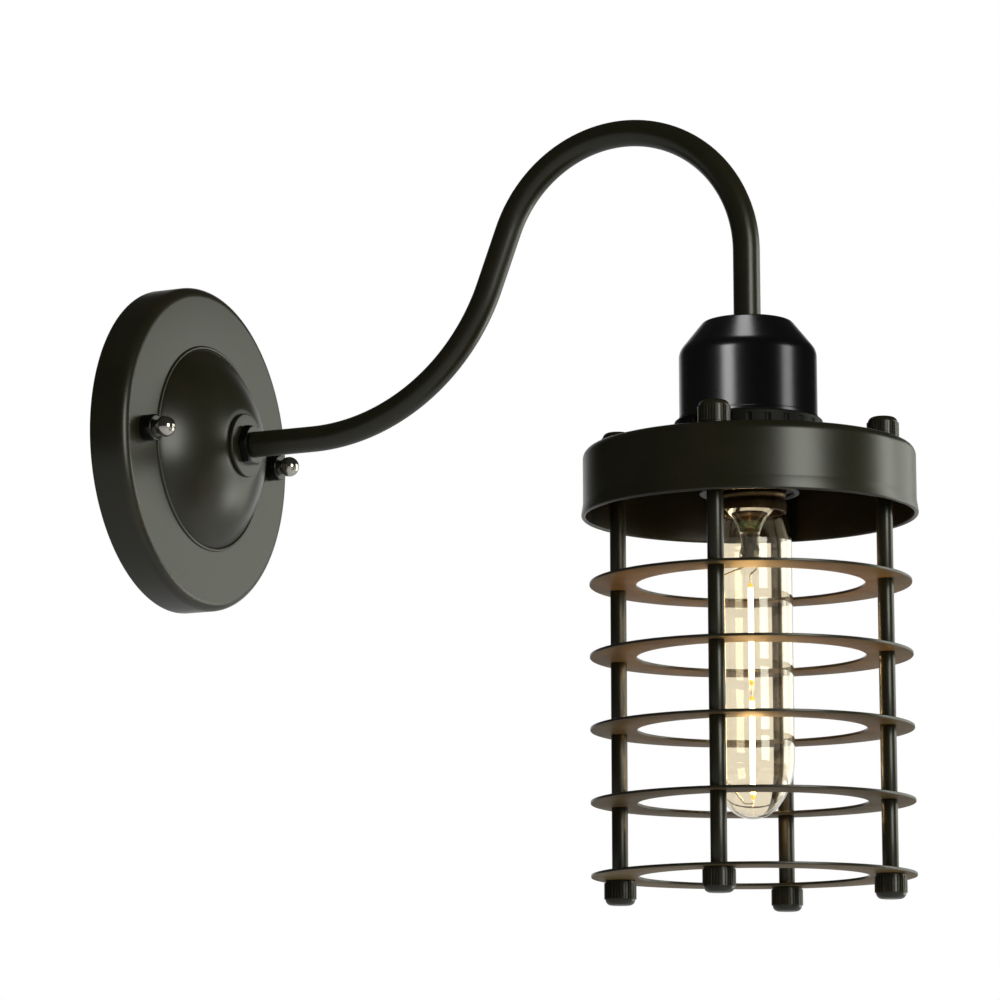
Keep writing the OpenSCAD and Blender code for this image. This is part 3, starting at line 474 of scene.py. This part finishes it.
nickelLook = {"metal": {"Color": rgb(0.56, 0.54, 0.50), "Dull Color": rgb(0.32, 0.29, 0.25),
                        "Line Scale": 700.0, "Stretch": (1.0, 0.3, 1.0), "Tarnish": 0.35,
                        "Roughness": 0.16, "Rough Spread": 0.12}, "bump": 0.05, "bumpDepth": 0.0001}
polishedNickel = metalFinish("polishedNickel", nickelLook)
zincLook = {"metal": {"Color": rgb(0.36, 0.38, 0.35), "Dull Color": rgb(0.22, 0.24, 0.22),
                      "Line Scale": 800.0, "Stretch": (0.1, 1.0, 1.0), "Tarnish": 0.6,
                      "Roughness": 0.38, "Rough Spread": 0.18}, "bump": 0.12, "bumpDepth": 0.0001}
zincPlate = metalFinish("zincPlate", zincLook)
brassLook = {"metal": {"Color": rgb(0.52, 0.36, 0.14), "Dull Color": rgb(0.25, 0.15, 0.06),
                       "Line Scale": 850.0, "Stretch": (0.2, 0.2, 1.0), "Tarnish": 0.6,
                       "Roughness": 0.3, "Rough Spread": 0.2}, "bump": 0.08, "bumpDepth": 0.0001}
drawnBrass = metalFinish("drawnBrass", brassLook)
agedLook = {"metal": {"Color": rgb(0.17, 0.105, 0.045), "Dull Color": rgb(0.06, 0.038, 0.018),
                      "Line Scale": 850.0, "Stretch": (0.2, 0.2, 1.0), "Tarnish": 0.8,
                      "Roughness": 0.42, "Rough Spread": 0.2}, "bump": 0.08, "bumpDepth": 0.0001}
agedBrass = metalFinish("agedBrass", agedLook)


glassLook = {"cloudScale": 45.0, "rippleScale": 90.0, "ripple": 0.02, "rippleDepth": 0.0003, "polish": 0.01,
             "bend": 1.48}


def glassFinish(name, tint, smear, s=glassLook):
    material, tree, shader, vector = emptyFinish(name)
    cloudy = noise(tree, vector, s["cloudScale"], 4.0, 0.6)
    tree.links.new(blendColors(tree, spread(tree, cloudy, 0.4, 0.7), tint[0], tint[1]),
                   shader.inputs["Base Color"])
    tree.links.new(maths(tree, "MULTIPLY_ADD", spread(tree, cloudy, 0.5, 0.8), smear, s["polish"]),
                   shader.inputs["Roughness"])
    bump(tree, shader, noise(tree, vector, s["rippleScale"], 2.0), s["ripple"], s["rippleDepth"])
    shader.inputs["IOR"].default_value = s["bend"]
    shader.inputs["Transmission Weight"].default_value = 1.0
    clear = tree.nodes.new("ShaderNodeBsdfTransparent")
    clear.inputs["Color"].default_value = tint[0]
    join = tree.nodes.new("ShaderNodeMixShader")
    tree.links.new(tree.nodes.new("ShaderNodeLightPath").outputs["Is Shadow Ray"], join.inputs[0])
    tree.links.new(shader.outputs[0], join.inputs[1])
    tree.links.new(clear.outputs[0], join.inputs[2])
    tree.links.new(join.outputs[0], tree.nodes["Material Output"].inputs["Surface"])
    return material


bulbGlass = glassFinish("bulbGlass", (rgb(0.93, 0.87, 0.745), rgb(0.905, 0.84, 0.705)), 0.03)
stemGlass = glassFinish("stemGlass", (rgb(0.97, 0.95, 0.90), rgb(0.94, 0.90, 0.83)), 0.08)
print("finishes ready")


# canopy
canopySizes = {"radius": 62.249, "rim": 15.2, "corner": 4.0, "sheet": 1.0, "domeFoot": 38.5,
               "domeRise": 15.2, "land": 13.5, "bead": 0.7, "armHole": 5.0, "studs": 47.4,
               "studHole": 2.5, "footGap": 1.4, "beadOut": 0.42, "beadSweep": 165, "beadTop": 0.65}


def makeCanopy(s):
    top = s["rim"] + s["domeRise"]
    drop = (s["domeFoot"] ** 2 - s["land"] ** 2 - s["domeRise"] ** 2) / (2 * s["domeRise"])
    ball = math.hypot(s["domeFoot"], drop)
    centre = (0, s["rim"] - drop)

    def domeArc(radius, low, high):
        first, last = (math.degrees(math.asin((h - centre[1]) / radius)) for h in (low, high))
        return arcPoints(centre, radius, first, last, 22)

    outside = softened([(s["radius"], 0.0), (s["radius"], s["rim"], s["corner"]),
                        (s["domeFoot"] + s["footGap"], s["rim"])], 9)
    bead = arcPoints((s["domeFoot"] + s["beadOut"], s["rim"]), s["bead"], 0, s["beadSweep"], 8)
    inner = ball - s["sheet"]
    under = s["rim"] - s["sheet"]
    inside = domeArc(inner, under, top - s["sheet"])[::-1]
    back = softened([inside[-1], (s["radius"] - s["sheet"], under, s["corner"] - s["sheet"]),
                     (s["radius"] - s["sheet"], 0.0)], 6)[1:]
    points = outside + bead + domeArc(ball, s["rim"] + s["beadTop"], top) + [
        (s["armHole"], top), (s["armHole"], top - s["sheet"])] + inside + back
    points = [points[0]] + [q for p, q in zip(points, points[1:]) if math.dist(p, q) > 0.02]
    piece = turned("canopyCover", points, sides=160)
    drill(piece, [(s["studs"], 0), (-s["studs"], 0)], s["studHole"], s["rim"] - 4, s["rim"] + 3)
    putPlace(piece, turn=(90, 0, 0))
    return finish(piece, "fixture", ironPaint, "olive_black_paint", "canopy")


makeCanopy(canopySizes)

studSizes = {"sleeve": 5.0, "sleeveLength": 4.8, "ball": 3.9, "seat": 15.2, "spacing": 47.4}


def makeStudCaps(s):
    sleeve = turned("studSleeve.left", softened([
        (2.1, 0.0), (s["sleeve"], 0.0, 0.3), (s["sleeve"], s["sleeveLength"], 0.6),
        (2.1, s["sleeveLength"])], 4), sides=64)
    rise = s["ball"] - 0.3
    neck = s["ball"] * 0.72
    foot = -math.degrees(math.acos(neck / s["ball"]))
    ball = turned("ballNut.left", [(0.0, 0.0), (neck, 0.0)]
                  + arcPoints((0, rise), s["ball"], foot, 90, 20), sides=64, closed=False)
    for piece, height, material, slot, node in (
            (sleeve, s["seat"], glossEnamel, "gloss_black", "stud_sleeves"),
            (ball, s["seat"] + s["sleeveLength"], polishedNickel, "nickel_plate", "ball_nuts")):
        other = twin(piece, piece.name.replace("left", "right"), (s["spacing"], -height, 0), (90, 0, 0))
        putPlace(piece, (-s["spacing"], -height, 0), (90, 0, 0))
        for each in (piece, other):
            finish(each, "fixture", material, slot, node)


makeStudCaps(studSizes)

washerSizes = {"radius": 12.2, "hole": 5.0, "thick": 1.6, "seat": 30.4}


def makeBossWasher(s):
    piece = turned("bossWasher", softened([
        (s["hole"], 0.0), (s["radius"], 0.0, 0.2), (s["radius"], s["thick"], 0.5),
        (s["hole"], s["thick"], 0.2)], 4), sides=96)
    putPlace(piece, (0, -s["seat"], 0), (90, 0, 0))
    return finish(piece, "fixture", ironPaint, "olive_black_paint", "boss_washer")


makeBossWasher(washerSizes)
print("canopy and its fasteners made")


# arm
armSizes = {"radius": 4.895, "wall": 1.0, "start": 22.5, "lead": 60.0, "lowBend": 80.0, "rise": 69.0,
            "straight": 22.0, "topBend": 49.5, "foot": 18.43}


def makeArm(s):
    rise = math.radians(s["rise"])
    startFresh()
    bpy.ops.mesh.primitive_circle_add(vertices=56, radius=s["radius"] * mm, rotation=(math.pi / 2, 0, 0),
                                      location=(0, -s["start"] * mm, 0))
    piece = bpy.context.object
    piece.name = piece.data.name = "armTube"
    bpy.ops.object.transform_apply()
    bpy.ops.object.mode_set(mode="EDIT")
    bpy.ops.mesh.select_all(action="SELECT")
    bpy.ops.mesh.extrude_edges_move(
        TRANSFORM_OT_translate={"value": (0, -(s["lead"] - s["start"]) * mm, 0)})
    bpy.ops.mesh.spin(steps=40, angle=rise, center=(0, -s["lead"] * mm, s["lowBend"] * mm),
                      axis=(1, 0, 0))
    outward, up = math.cos(rise) * s["straight"], math.sin(rise) * s["straight"]
    bpy.ops.mesh.extrude_edges_move(TRANSFORM_OT_translate={"value": (0, -outward * mm, up * mm)})
    arch = (s["lead"] + s["lowBend"] * math.sin(rise) + outward + s["topBend"] * math.sin(rise),
            s["lowBend"] * (1 - math.cos(rise)) + up - s["topBend"] * math.cos(rise))
    bpy.ops.mesh.spin(steps=72, angle=-rise - math.pi / 2, center=(0, -arch[0] * mm, arch[1] * mm),
                      axis=(1, 0, 0))
    bpy.ops.mesh.extrude_edges_move(TRANSFORM_OT_translate={"value": (0, 0, (s["foot"] - arch[1]) * mm)})
    bpy.ops.mesh.select_all(action="SELECT")
    bpy.ops.mesh.normals_make_consistent(inside=False)
    bpy.ops.object.mode_set(mode="OBJECT")
    applyModifier(piece, "SOLIDIFY", thickness=s["wall"] * mm, offset=-1.0)
    smooth(piece)
    return finish(piece, "fixture", ironPaint, "olive_black_paint", "arm_tube")


makeArm(armSizes)
print("arm bent")

# lamp cup
lampAxis = -238.28
cupSizes = {"top": 27.63, "foot": -8.77, "radius": 24.8, "flat": 16.0, "shoulder": 11.0, "wall": 1.2,
            "bead": 25.05, "hole": 5.0}


def makeCup(s):
    knee = s["top"] - s["shoulder"]
    inner = s["radius"] - s["wall"]
    piece = turned("lampCup", softened([
        (s["hole"], s["top"]), (s["flat"], s["top"], 2.2), (s["radius"], knee, 6.4),
        (s["radius"], s["foot"] + 1.6, 0.12), (s["bead"], s["foot"] + 1.6, 0.2),
        (s["bead"], s["foot"], 0.5), (inner, s["foot"], 0.3), (inner, knee - 0.5, 5.2),
        (s["flat"] - 0.5, s["top"] - s["wall"], 1.2), (s["hole"], s["top"] - s["wall"])], 9), sides=144)
    putPlace(piece, (0, lampAxis, 0))
    return finish(piece, "fixture", glossEnamel, "gloss_black", "lamp_cup")


makeCup(cupSizes)

cupNutSizes = {"radius": 6.85, "hole": 5.0, "thick": 1.5, "seat": 27.63}


def makeCupNut(s):
    piece = turned("cupNut", softened([
        (s["hole"], 0.0), (s["radius"], 0.0, 0.15), (s["radius"], s["thick"], 0.4),
        (s["hole"], s["thick"], 0.2)], 4), sides=72)
    putPlace(piece, (0, lampAxis, s["seat"]))
    return finish(piece, "fixture", glossEnamel, "gloss_black", "cup_nut")


makeCupNut(cupNutSizes)


def cutThread(piece, radius, low, high, pitch, depth):  # before the piece goes to its place
    for vertex in piece.data.vertices:
        x, y, z = (c / mm for c in vertex.co)
        if abs(math.hypot(x, y) - radius) < 0.02 and low < z < high:
            fade = min(1.0, (z - low) / pitch, (high - z) / pitch)
            wave = 0.5 - 0.5 * math.cos(2 * math.pi * (z / pitch - math.atan2(y, x) / (2 * math.pi)))
            scale = 1 - depth * fade * wave / radius
            vertex.co.x *= scale
            vertex.co.y *= scale
    piece.data.update()


skirtSizes = {"radius": 19.7, "top": 3.23, "foot": -35.27, "ledge": -6.77, "bore": 13.8,
              "threadPitch": 2.4, "threadDepth": 0.55, "rimStep": 1.7, "rimHeight": 3.0, "topWall": 2.7,
              "boreStep": 0.5, "lipHeight": 1.6}


def makeSkirt(s):
    low, high = s["foot"] + 4.0, s["top"] - 0.4
    count = int((high - low) / s["threadPitch"] * 8)
    wall = [(s["radius"], low + (high - low) * i / count) for i in range(count + 1)]
    piece = turned("holderSkirt", softened([
        (s["bore"], s["foot"], 0.5), (s["radius"] - s["rimStep"], s["foot"], 0.6),
        (s["radius"] - s["rimStep"], s["foot"] + s["rimHeight"]),
        (s["radius"], s["foot"] + s["rimHeight"], 0.3)], 4)
        + wall + [(s["radius"], s["top"]), (s["radius"] - s["topWall"], s["top"]),
                  (s["radius"] - s["topWall"], s["ledge"]), (s["bore"] + s["boreStep"], s["ledge"]),
                  (s["bore"] + s["boreStep"], s["foot"] + s["lipHeight"]),
                  (s["bore"], s["foot"] + s["lipHeight"])], sides=96)
    cutThread(piece, s["radius"], low, high, s["threadPitch"], s["threadDepth"])
    putPlace(piece, (0, lampAxis, 0))
    return finish(piece, "fixture", blackPhenolic, "black_phenolic", "holder_skirt")


makeSkirt(skirtSizes)
print("lamp cup and lampholder made")

# shade dish and ring cage
rodCircle = 49.0
rodTurn = 8.5
rodSpots = [(rodCircle * math.cos(math.radians(rodTurn + a)), rodCircle * math.sin(math.radians(rodTurn + a)))
            for a in (0, 90, 180, 270)]
dishSizes = {"top": -18.77, "foot": -43.37, "radius": 59.55, "lip": 60.2, "lipHeight": 5.0,
             "corner": 3.5, "sheet": 1.0, "hem": 0.8, "hole": 19.8, "rodHole": 2.15}


def makeDish(s):
    hemCentre = (s["lip"] - s["hem"], s["foot"] + s["hem"])
    shelf = s["foot"] + s["lipHeight"]
    inner = s["radius"] - s["sheet"]
    points = softened([(s["hole"], s["top"]), (s["radius"], s["top"], s["corner"]),
                       (s["radius"], shelf, 4.0), (s["lip"], hemCentre[1])], 8)
    points += arcPoints(hemCentre, s["hem"], 0, -180, 10)[1:]
    points += softened([points[-1], (inner, shelf, 3.0),
                        (inner, s["top"] - s["sheet"], s["corner"] - s["sheet"]),
                        (s["hole"], s["top"] - s["sheet"])], 8)[1:]
    piece = turned("shadeDish", points, sides=176)
    drill(piece, rodSpots, s["rodHole"], s["top"] - 3, s["top"] + 2)
    putPlace(piece, (0, lampAxis, 0))
    return finish(piece, "fixture", ironPaint, "olive_black_paint", "shade_dish")


makeDish(dishSizes)

ringSizes = {"outer": 57.4, "inner": 40.75, "thick": 1.0, "edge": 0.22, "rodHole": 2.15,
             "undersides": (-67.87, -93.87, -119.87, -145.87, -171.87)}


def makeRings(s):
    first = turned("cageRing.1", softened([
        (s["inner"], 0.0, s["edge"]), (s["outer"], 0.0, s["edge"]), (s["outer"], s["thick"], s["edge"]),
        (s["inner"], s["thick"], s["edge"])], 3), sides=176)
    drill(first, rodSpots, s["rodHole"], -1, 2)
    others = [twin(first, "cageRing.%d" % (i + 1), (0, lampAxis, z))
              for i, z in enumerate(s["undersides"]) if i]
    putPlace(first, (0, lampAxis, s["undersides"][0]))
    for i, piece in enumerate([first] + others):
        finish(piece, "fixture", ringPaint, "olive_black_paint", "cage_ring_%d" % (i + 1))
        piece.data.materials.append(ironPaint)
        # down-facing faces take the painted tan glow, all other faces the plain dark paint
        for face in piece.data.polygons:
            face.material_index = 0 if face.normal.z < -0.9 else 1


makeRings(ringSizes)

spacerSizes = {"radius": 2.9, "bore": 2.1, "chamfer": 0.18, "top": -19.77}


def makeSpacer(name, length, s):
    return turned(name, softened([(s["bore"], 0.0), (s["radius"], 0.0, s["chamfer"]),
                                  (s["radius"], length, s["chamfer"]), (s["bore"], length)], 2),
                  sides=40)


def makeSpacers(s, undersides, thick):
    longOne = makeSpacer("longSpacer.1", s["top"] - undersides[0] - thick, s)
    shortOne = makeSpacer("shortSpacer.1", undersides[0] - undersides[1] - thick, s)
    rows = [(longOne, undersides[0] + thick, "long_spacers")]
    rows += [(shortOne, z + thick, "short_spacers") for z in undersides[1:]]
    made = {"longSpacer": 0, "shortSpacer": 0}
    for model, foot, node in rows:
        kind = model.name.split(".")[0]
        for x, y in rodSpots:
            made[kind] += 1
            piece = twin(model, "%s.%02d" % (kind, made[kind] + 1), (x, y + lampAxis, foot))
            finish(piece, "fixture", ironPaint, "olive_black_paint", node)
    for model in (longOne, shortOne):
        pick(model)
        bpy.ops.object.delete()


makeSpacers(spacerSizes, ringSizes["undersides"], ringSizes["thick"])

nutSizes = {"radius": 5.75, "valley": 5.35, "height": 8.8, "plain": 0.9, "dome": 2.2, "bore": 2.1,
            "boreDepth": 6.4, "knurls": 32, "bevel": 0.09, "topSeat": -18.77, "bottomSeat": -171.87}


def makeKnurledNuts(s):
    bandTop = s["height"] - s["dome"]
    model = turned("knurledNut", softened([
        (s["bore"], 0.0), (s["valley"], 0.0, 0.25), (s["valley"], s["plain"]), (s["valley"], bandTop),
        (s["valley"], s["height"], s["dome"] - 0.02), (0.0, s["height"]), (0.0, s["boreDepth"]),
        (s["bore"], s["boreDepth"])], 7), sides=s["knurls"] * 3, angle=30)
    pick(model)
    bpy.ops.object.mode_set(mode="EDIT")
    shape = bmesh.from_edit_mesh(model.data)
    bpy.ops.mesh.select_all(action="DESELECT")
    step = 2 * math.pi / (s["knurls"] * 3)
    for face in shape.faces:
        middle = face.calc_center_median()
        third = int((math.atan2(middle.y, middle.x) % (2 * math.pi)) / step)
        onBand = s["plain"] < middle.z / mm < bandTop and math.hypot(middle.x, middle.y) / mm > 5.2
        face.select_set(onBand and third % 3 != 0)
    bmesh.update_edit_mesh(model.data)
    bpy.ops.mesh.extrude_region_shrink_fatten(
        TRANSFORM_OT_shrink_fatten={"value": (s["radius"] - s["valley"]) * mm})
    bpy.ops.object.mode_set(mode="OBJECT")
    applyModifier(model, "BEVEL", width=s["bevel"] * mm, segments=1, limit_method="ANGLE",
                  angle_limit=math.radians(50))
    smooth(model, 35)
    for i, (x, y) in enumerate(rodSpots):
        top = twin(model, "topNut.%d" % (i + 1), (x, y + lampAxis, s["topSeat"]))
        finish(top, "fixture", ironPaint, "olive_black_paint", "top_knurled_nuts")
        foot = twin(model, "bottomNut.%d" % (i + 1), (x, y + lampAxis, s["bottomSeat"]), (180, 0, 0))
        finish(foot, "fixture", ironPaint, "olive_black_paint", "bottom_knurled_nuts")
    pick(model)
    bpy.ops.object.delete()


makeKnurledNuts(nutSizes)
print("dish, rings, spacers and nuts made")

# bulb
capSizes = {"foot": -41.97, "radius": 13.1, "wall": 0.5, "length": 20.5, "collar": 2.6, "pitch": 3.63,
            "depth": 0.85, "threadEnd": 1.3, "topRadius": 11.5}


def makeBulbCap(s):
    low, high = s["collar"], s["length"] - s["threadEnd"]
    count = int((high - low) / s["pitch"] * 9)
    side = [(s["radius"], low + (high - low) * i / count) for i in range(count + 1)]
    bore = s["radius"] - s["depth"] - s["wall"] - 0.2
    piece = turned("bulbCap", [(s["radius"] - s["wall"], 0.0), (s["radius"], 0.0)] + side + softened([
        (s["radius"], high), (s["radius"] - 0.4, s["length"], 0.8), (s["topRadius"], s["length"])], 4)[1:]
        + [(bore, s["length"] - 0.5), (bore, low), (s["radius"] - s["wall"], low - 0.6)], sides=96)
    cutThread(piece, s["radius"], low, high, s["pitch"], s["depth"])
    putPlace(piece, (0, lampAxis, s["foot"]))
    return finish(piece, "bulb", agedBrass, "brass", "bulb_cap")


makeBulbCap(capSizes)

glassSizes = {"radius": 14.95, "neck": 12.5, "thick": 0.9, "capFoot": -41.97, "inCap": 6.0,
              "shoulder": 10.0, "foot": -151.47, "endHeight": 21.5, "sideArc": 28.0}


def glassOutline(s, inset):
    straight = s["foot"] + s["endHeight"]
    shift = s["sideArc"] - s["radius"]
    tip = (s["sideArc"] ** 2 - shift ** 2 - s["endHeight"] ** 2) / (2 * (s["sideArc"] - s["endHeight"]))
    join = math.degrees(math.asin((s["endHeight"] - tip) / (s["sideArc"] - tip)))
    side = arcPoints((-shift, straight), s["sideArc"] - inset, 0, -join, 9)
    nose = arcPoints((0, s["foot"] + tip), tip - inset, -join, -90, 9)[1:]
    upper = softened([(s["neck"] - inset, s["capFoot"] + s["inCap"]),
                      (s["neck"] - inset, s["capFoot"] - 1, 3.0),
                      (s["radius"] - inset, s["capFoot"] - s["shoulder"], 8.0 - inset),
                      (s["radius"] - inset, straight)], 7)[:-1]
    return upper + side + nose[:-1] + [(0.0, nose[-1][1])]


def makeBulbGlass(s):
    outside, inside = glassOutline(s, 0.0), glassOutline(s, s["thick"])
    piece = turned("bulbGlass", outside + inside[::-1], sides=112, angle=60)
    putPlace(piece, (0, lampAxis, 0))
    return finish(piece, "bulb", bulbGlass, "clear_glass", "bulb_glass")


makeBulbGlass(glassSizes)

stemSizes = {"turn": 116.0, "rings": ((11.4, 11.4, -38.97), (10.6, 10.6, -39.6), (8.4, 8.4, -41.2),
                                      (6.2, 6.2, -43.6), (4.6, 4.6, -46.6), (3.5, 3.5, -49.6),
                                      (3.1, 3.1, -52.4), (3.2, 2.5, -54.2), (3.8, 1.9, -55.8),
                                      (4.0, 1.6, -57.4), (3.9, 1.6, -59.0), (3.5, 1.3, -59.7),
                                      (2.2, 0.8, -59.97))}


def makeStem(s):
    startFresh()
    first = s["rings"][0]
    bpy.ops.mesh.primitive_circle_add(vertices=48, radius=first[0] * mm, fill_type="NGON",
                                      location=(0, 0, first[2] * mm))
    piece = bpy.context.object
    piece.name = piece.data.name = "bulbStem"
    bpy.ops.object.transform_apply()
    bpy.ops.object.mode_set(mode="EDIT")
    bpy.ops.mesh.select_all(action="SELECT")
    for (x0, y0, z0), (x1, y1, z1) in zip(s["rings"], s["rings"][1:]):
        bpy.ops.mesh.extrude_region_move(TRANSFORM_OT_translate={"value": (0, 0, (z1 - z0) * mm)})
        bpy.ops.transform.resize(value=(x1 / x0, y1 / y0, 1), center_override=(0, 0, z1 * mm))
    bpy.ops.mesh.select_all(action="SELECT")
    bpy.ops.mesh.normals_make_consistent(inside=False)
    smooth(piece, 50)
    putPlace(piece, (0, lampAxis, 0), (0, 0, s["turn"]))
    return finish(piece, "bulb", stemGlass, "clear_glass", "bulb_stem")


makeStem(stemSizes)

stickSizes = {"radius": 0.9, "length": 36.5, "tops": (-67.27, -107.87), "cap": 1.4, "bareRadius": 0.72,
              "litEnd": 2.6, "litFade": 0.9, "glow": 80.0}


def lightStickFinish(name, centre, s):
    material, tree, shader, vector = emptyFinish(name, (0, lampAxis * mm, centre * mm))
    split = tree.nodes.new("ShaderNodeSeparateXYZ")
    tree.links.new(vector, split.inputs[0])
    away = maths(tree, "ABSOLUTE", split.outputs["Z"])
    spots = noise(tree, vector, 700.0, 2.0)
    half = s["length"] / 2
    lit = spread(tree, maths(tree, "MULTIPLY_ADD", spots, 0.0012, away), (half - s["litEnd"]) * mm,
                 (half - s["litFade"]) * mm, 1.0, 0.0)
    color = blendColors(tree, spots, rgb(0.90, 0.62, 0.12), rgb(0.80, 0.50, 0.08))
    tree.links.new(color, shader.inputs["Base Color"])
    tree.links.new(spread(tree, spots, 0.3, 0.7, 0.45, 0.65), shader.inputs["Roughness"])
    tree.links.new(blendColors(tree, lit, rgb(0.010, 0.0045, 0.0004), rgb(1.0, 0.66, 0.30)),
                   shader.inputs["Emission Color"])
    shader.inputs["Emission Strength"].default_value = s["glow"]
    bump(tree, shader, spots, 0.2, 0.0001)
    return material


def makeLightSticks(s):
    for i, top in enumerate(s["tops"]):
        length = s["length"]
        piece = turned("lightStick.%d" % (i + 1), softened([
            (0.0, 0.0), (s["bareRadius"], 0.0, 0.2), (s["bareRadius"], s["cap"], 0.05),
            (s["radius"], s["cap"], 0.15), (s["radius"], length - s["cap"], 0.15),
            (s["bareRadius"], length - s["cap"], 0.05), (s["bareRadius"], length, 0.2),
            (0.0, length)], 2), sides=32, closed=False)
        putPlace(piece, (0, lampAxis, top - length))
        glow = lightStickFinish("lightStickGlow%d" % (i + 1), top - length / 2, s)
        finish(piece, "bulb", glow, "filament", "filaments")


makeLightSticks(stickSizes)
print("bulb made")

# CAD nodes that keep their shape
keptFinishes = [
    (zincPlate, "wall_bracket bracket_studs stud_lock_nuts terminal_screws block_screw earth_screw "
                "arm_lock_washer arm_inner_nut holder_screws tie_rods"),
    (drawnBrass, "terminal_inserts earth_tag holder_terminals screw_shell centre_contact cap_contact"),
    (porcelain, "terminal_block holder_core"),
    (glossEnamel, "arm_outer_nut"),
    (blackRubber, "tube_bushes"),
    (blackPhenolic, "holder_cap"),
    # the shade rings take the darker black that paints in the shade between cup and dish
    (dullPhenolic, "upper_shade_ring lower_shade_ring"),
    (blackGlass, "cap_insulator"),
    (circuitBoard, "driver_board"),
    (polishedNickel, "bulb_wires"),
    (wireFinish("brown"), "live_wire"),
    (wireFinish("blue"), "neutral_wire"),
    (wireFinish("green"), "earth_wire")]


def dressNodes(rows):
    for material, names in rows:
        for name in names.split():
            node = nodes[name]
            if not node.material_slots:
                node.data.materials.append(material)
            for slot in node.material_slots:
                slot.material = material


dressNodes(keptFinishes)
print("remaining nodes dressed")

# studio
studio = {"centre": (0.0, -0.16, -0.03), "floorHeight": -0.80, "floorSize": 12, "floorGlow": 0.60,
          "floorInGloss": 0.4, "ambient": 0.35, "glossFront": 0.03, "backdropStart": 0.80,
          "backdropFull": 0.985,
          "lamps": [  # name, bearing, height angle, distance, width, height, power, colour, for the cup
              ("sidePanel", 122, 2, 1.5, 1.15, 1.0, 6.0, (0.97, 1.0, 0.88), False),
              ("sideStrip", 100, 9, 1.4, 0.36, 0.7, 3.2, (0.97, 1.0, 0.88), False),
              ("sideLow", 117, -19, 1.4, 0.45, 0.26, 1.5, (0.97, 1.0, 0.88), False),
              ("frontStrip", 34, 9, 1.3, 0.50, 0.7, 8.0, (0.98, 1.0, 0.88), False),
              ("cupLeft", -33, 6, 1.3, 0.42, 0.60, 11.0, (1.0, 1.0, 1.0), True),
              ("cupRight", 65, 6, 1.3, 0.38, 0.60, 4.6, (0.97, 0.98, 1.0), True),
              ("cupTop", 0, 86, 1.3, 0.32, 0.5, 3.4, (1.0, 1.0, 1.0), True)]}


def lightOnly(names, use):  # the cup and its nut have three lamps of their own
    group = bpy.data.collections.new("litBy" + use)
    for name in names:
        group.objects.link(bpy.data.objects[name])
    for member in group.collection_objects:
        member.light_linking.link_state = use
    return group


def seenDirectly(tree, glossyShare):
    rays = tree.nodes.new("ShaderNodeLightPath")
    plain = maths(tree, "MAXIMUM", rays.outputs["Is Camera Ray"], rays.outputs["Is Transmission Ray"])
    inGloss = maths(tree, "MULTIPLY", rays.outputs["Is Glossy Ray"], glossyShare)
    return maths(tree, "MAXIMUM", plain, inGloss)


def buildStudio(s):
    centre = Vector(s["centre"])
    cupNames = ("lampCup", "cupNut")
    groups = {True: lightOnly(cupNames, "INCLUDE"), False: lightOnly(cupNames, "EXCLUDE")}
    for name, bearing, lift, distance, width, height, power, colour, forCup in s["lamps"]:
        around, up = math.radians(bearing), math.radians(lift)
        level = cameraWard * math.cos(around) + cameraRight * math.sin(around)
        toward = level * math.cos(up) + Vector((0, 0, math.sin(up)))
        bpy.ops.object.light_add(type="AREA", location=centre + toward * distance)
        lamp = bpy.context.object
        lamp.name = name
        lamp.rotation_euler = toward.to_track_quat("Z", "Y").to_euler()
        lamp.data.shape = "RECTANGLE"
        lamp.data.size, lamp.data.size_y = width, height
        lamp.data.energy, lamp.data.color = power, colour
        lamp.light_linking.receiver_collection = groups[forCup]
    startFresh()
    bpy.ops.mesh.primitive_plane_add(size=s["floorSize"], location=(0, 0, s["floorHeight"]))
    floor = bpy.context.object
    floor.name = "floor"
    material, tree, shader, vector = emptyFinish("paleFloor")
    tree.links.new(blendColors(tree, noise(tree, vector, 3.0), rgb(0.50, 0.50, 0.505),
                               rgb(0.53, 0.53, 0.535)), shader.inputs["Base Color"])
    shader.inputs["Roughness"].default_value = 0.7
    shader.inputs["Emission Color"].default_value = rgb(1.0, 1.0, 1.0)
    tree.links.new(maths(tree, "MULTIPLY", seenDirectly(tree, s["floorInGloss"]), s["floorGlow"]),
                   shader.inputs["Emission Strength"])
    join = tree.nodes.new("ShaderNodeMixShader")  # seen from below, the floor is open
    tree.links.new(tree.nodes.new("ShaderNodeNewGeometry").outputs["Backfacing"], join.inputs[0])
    tree.links.new(shader.outputs[0], join.inputs[1])
    tree.links.new(tree.nodes.new("ShaderNodeBsdfTransparent").outputs[0], join.inputs[2])
    tree.links.new(join.outputs[0], tree.nodes["Material Output"].inputs["Surface"])
    floor.data.materials.append(material)
    world = bpy.data.worlds.new("studioWorld")
    bpy.context.scene.world = world
    world.use_nodes = True
    tree = world.node_tree
    facing = tree.nodes.new("ShaderNodeVectorMath")  # the backdrop stands behind the light
    facing.operation = "DOT_PRODUCT"
    tree.links.new(tree.nodes.new("ShaderNodeTexCoord").outputs["Generated"], facing.inputs[0])
    facing.inputs[1].default_value = -cameraWard
    backdrop = spread(tree, facing.outputs["Value"], s["backdropStart"], s["backdropFull"],
                      s["glossFront"], 1.0)
    rays = tree.nodes.new("ShaderNodeLightPath")
    plain = spread(tree, rays.outputs["Is Glossy Ray"], 0.0, 1.0, s["ambient"], backdrop)
    background = tree.nodes["Background"]
    tree.links.new(spread(tree, seenDirectly(tree, 0.0), 0.0, 1.0, plain, 1.0),
                   background.inputs["Strength"])
    background.inputs["Color"].default_value = rgb(1.0, 1.0, 1.0)


buildStudio(studio)
bpy.context.scene.view_settings.view_transform = "Standard"
print("studio lit")
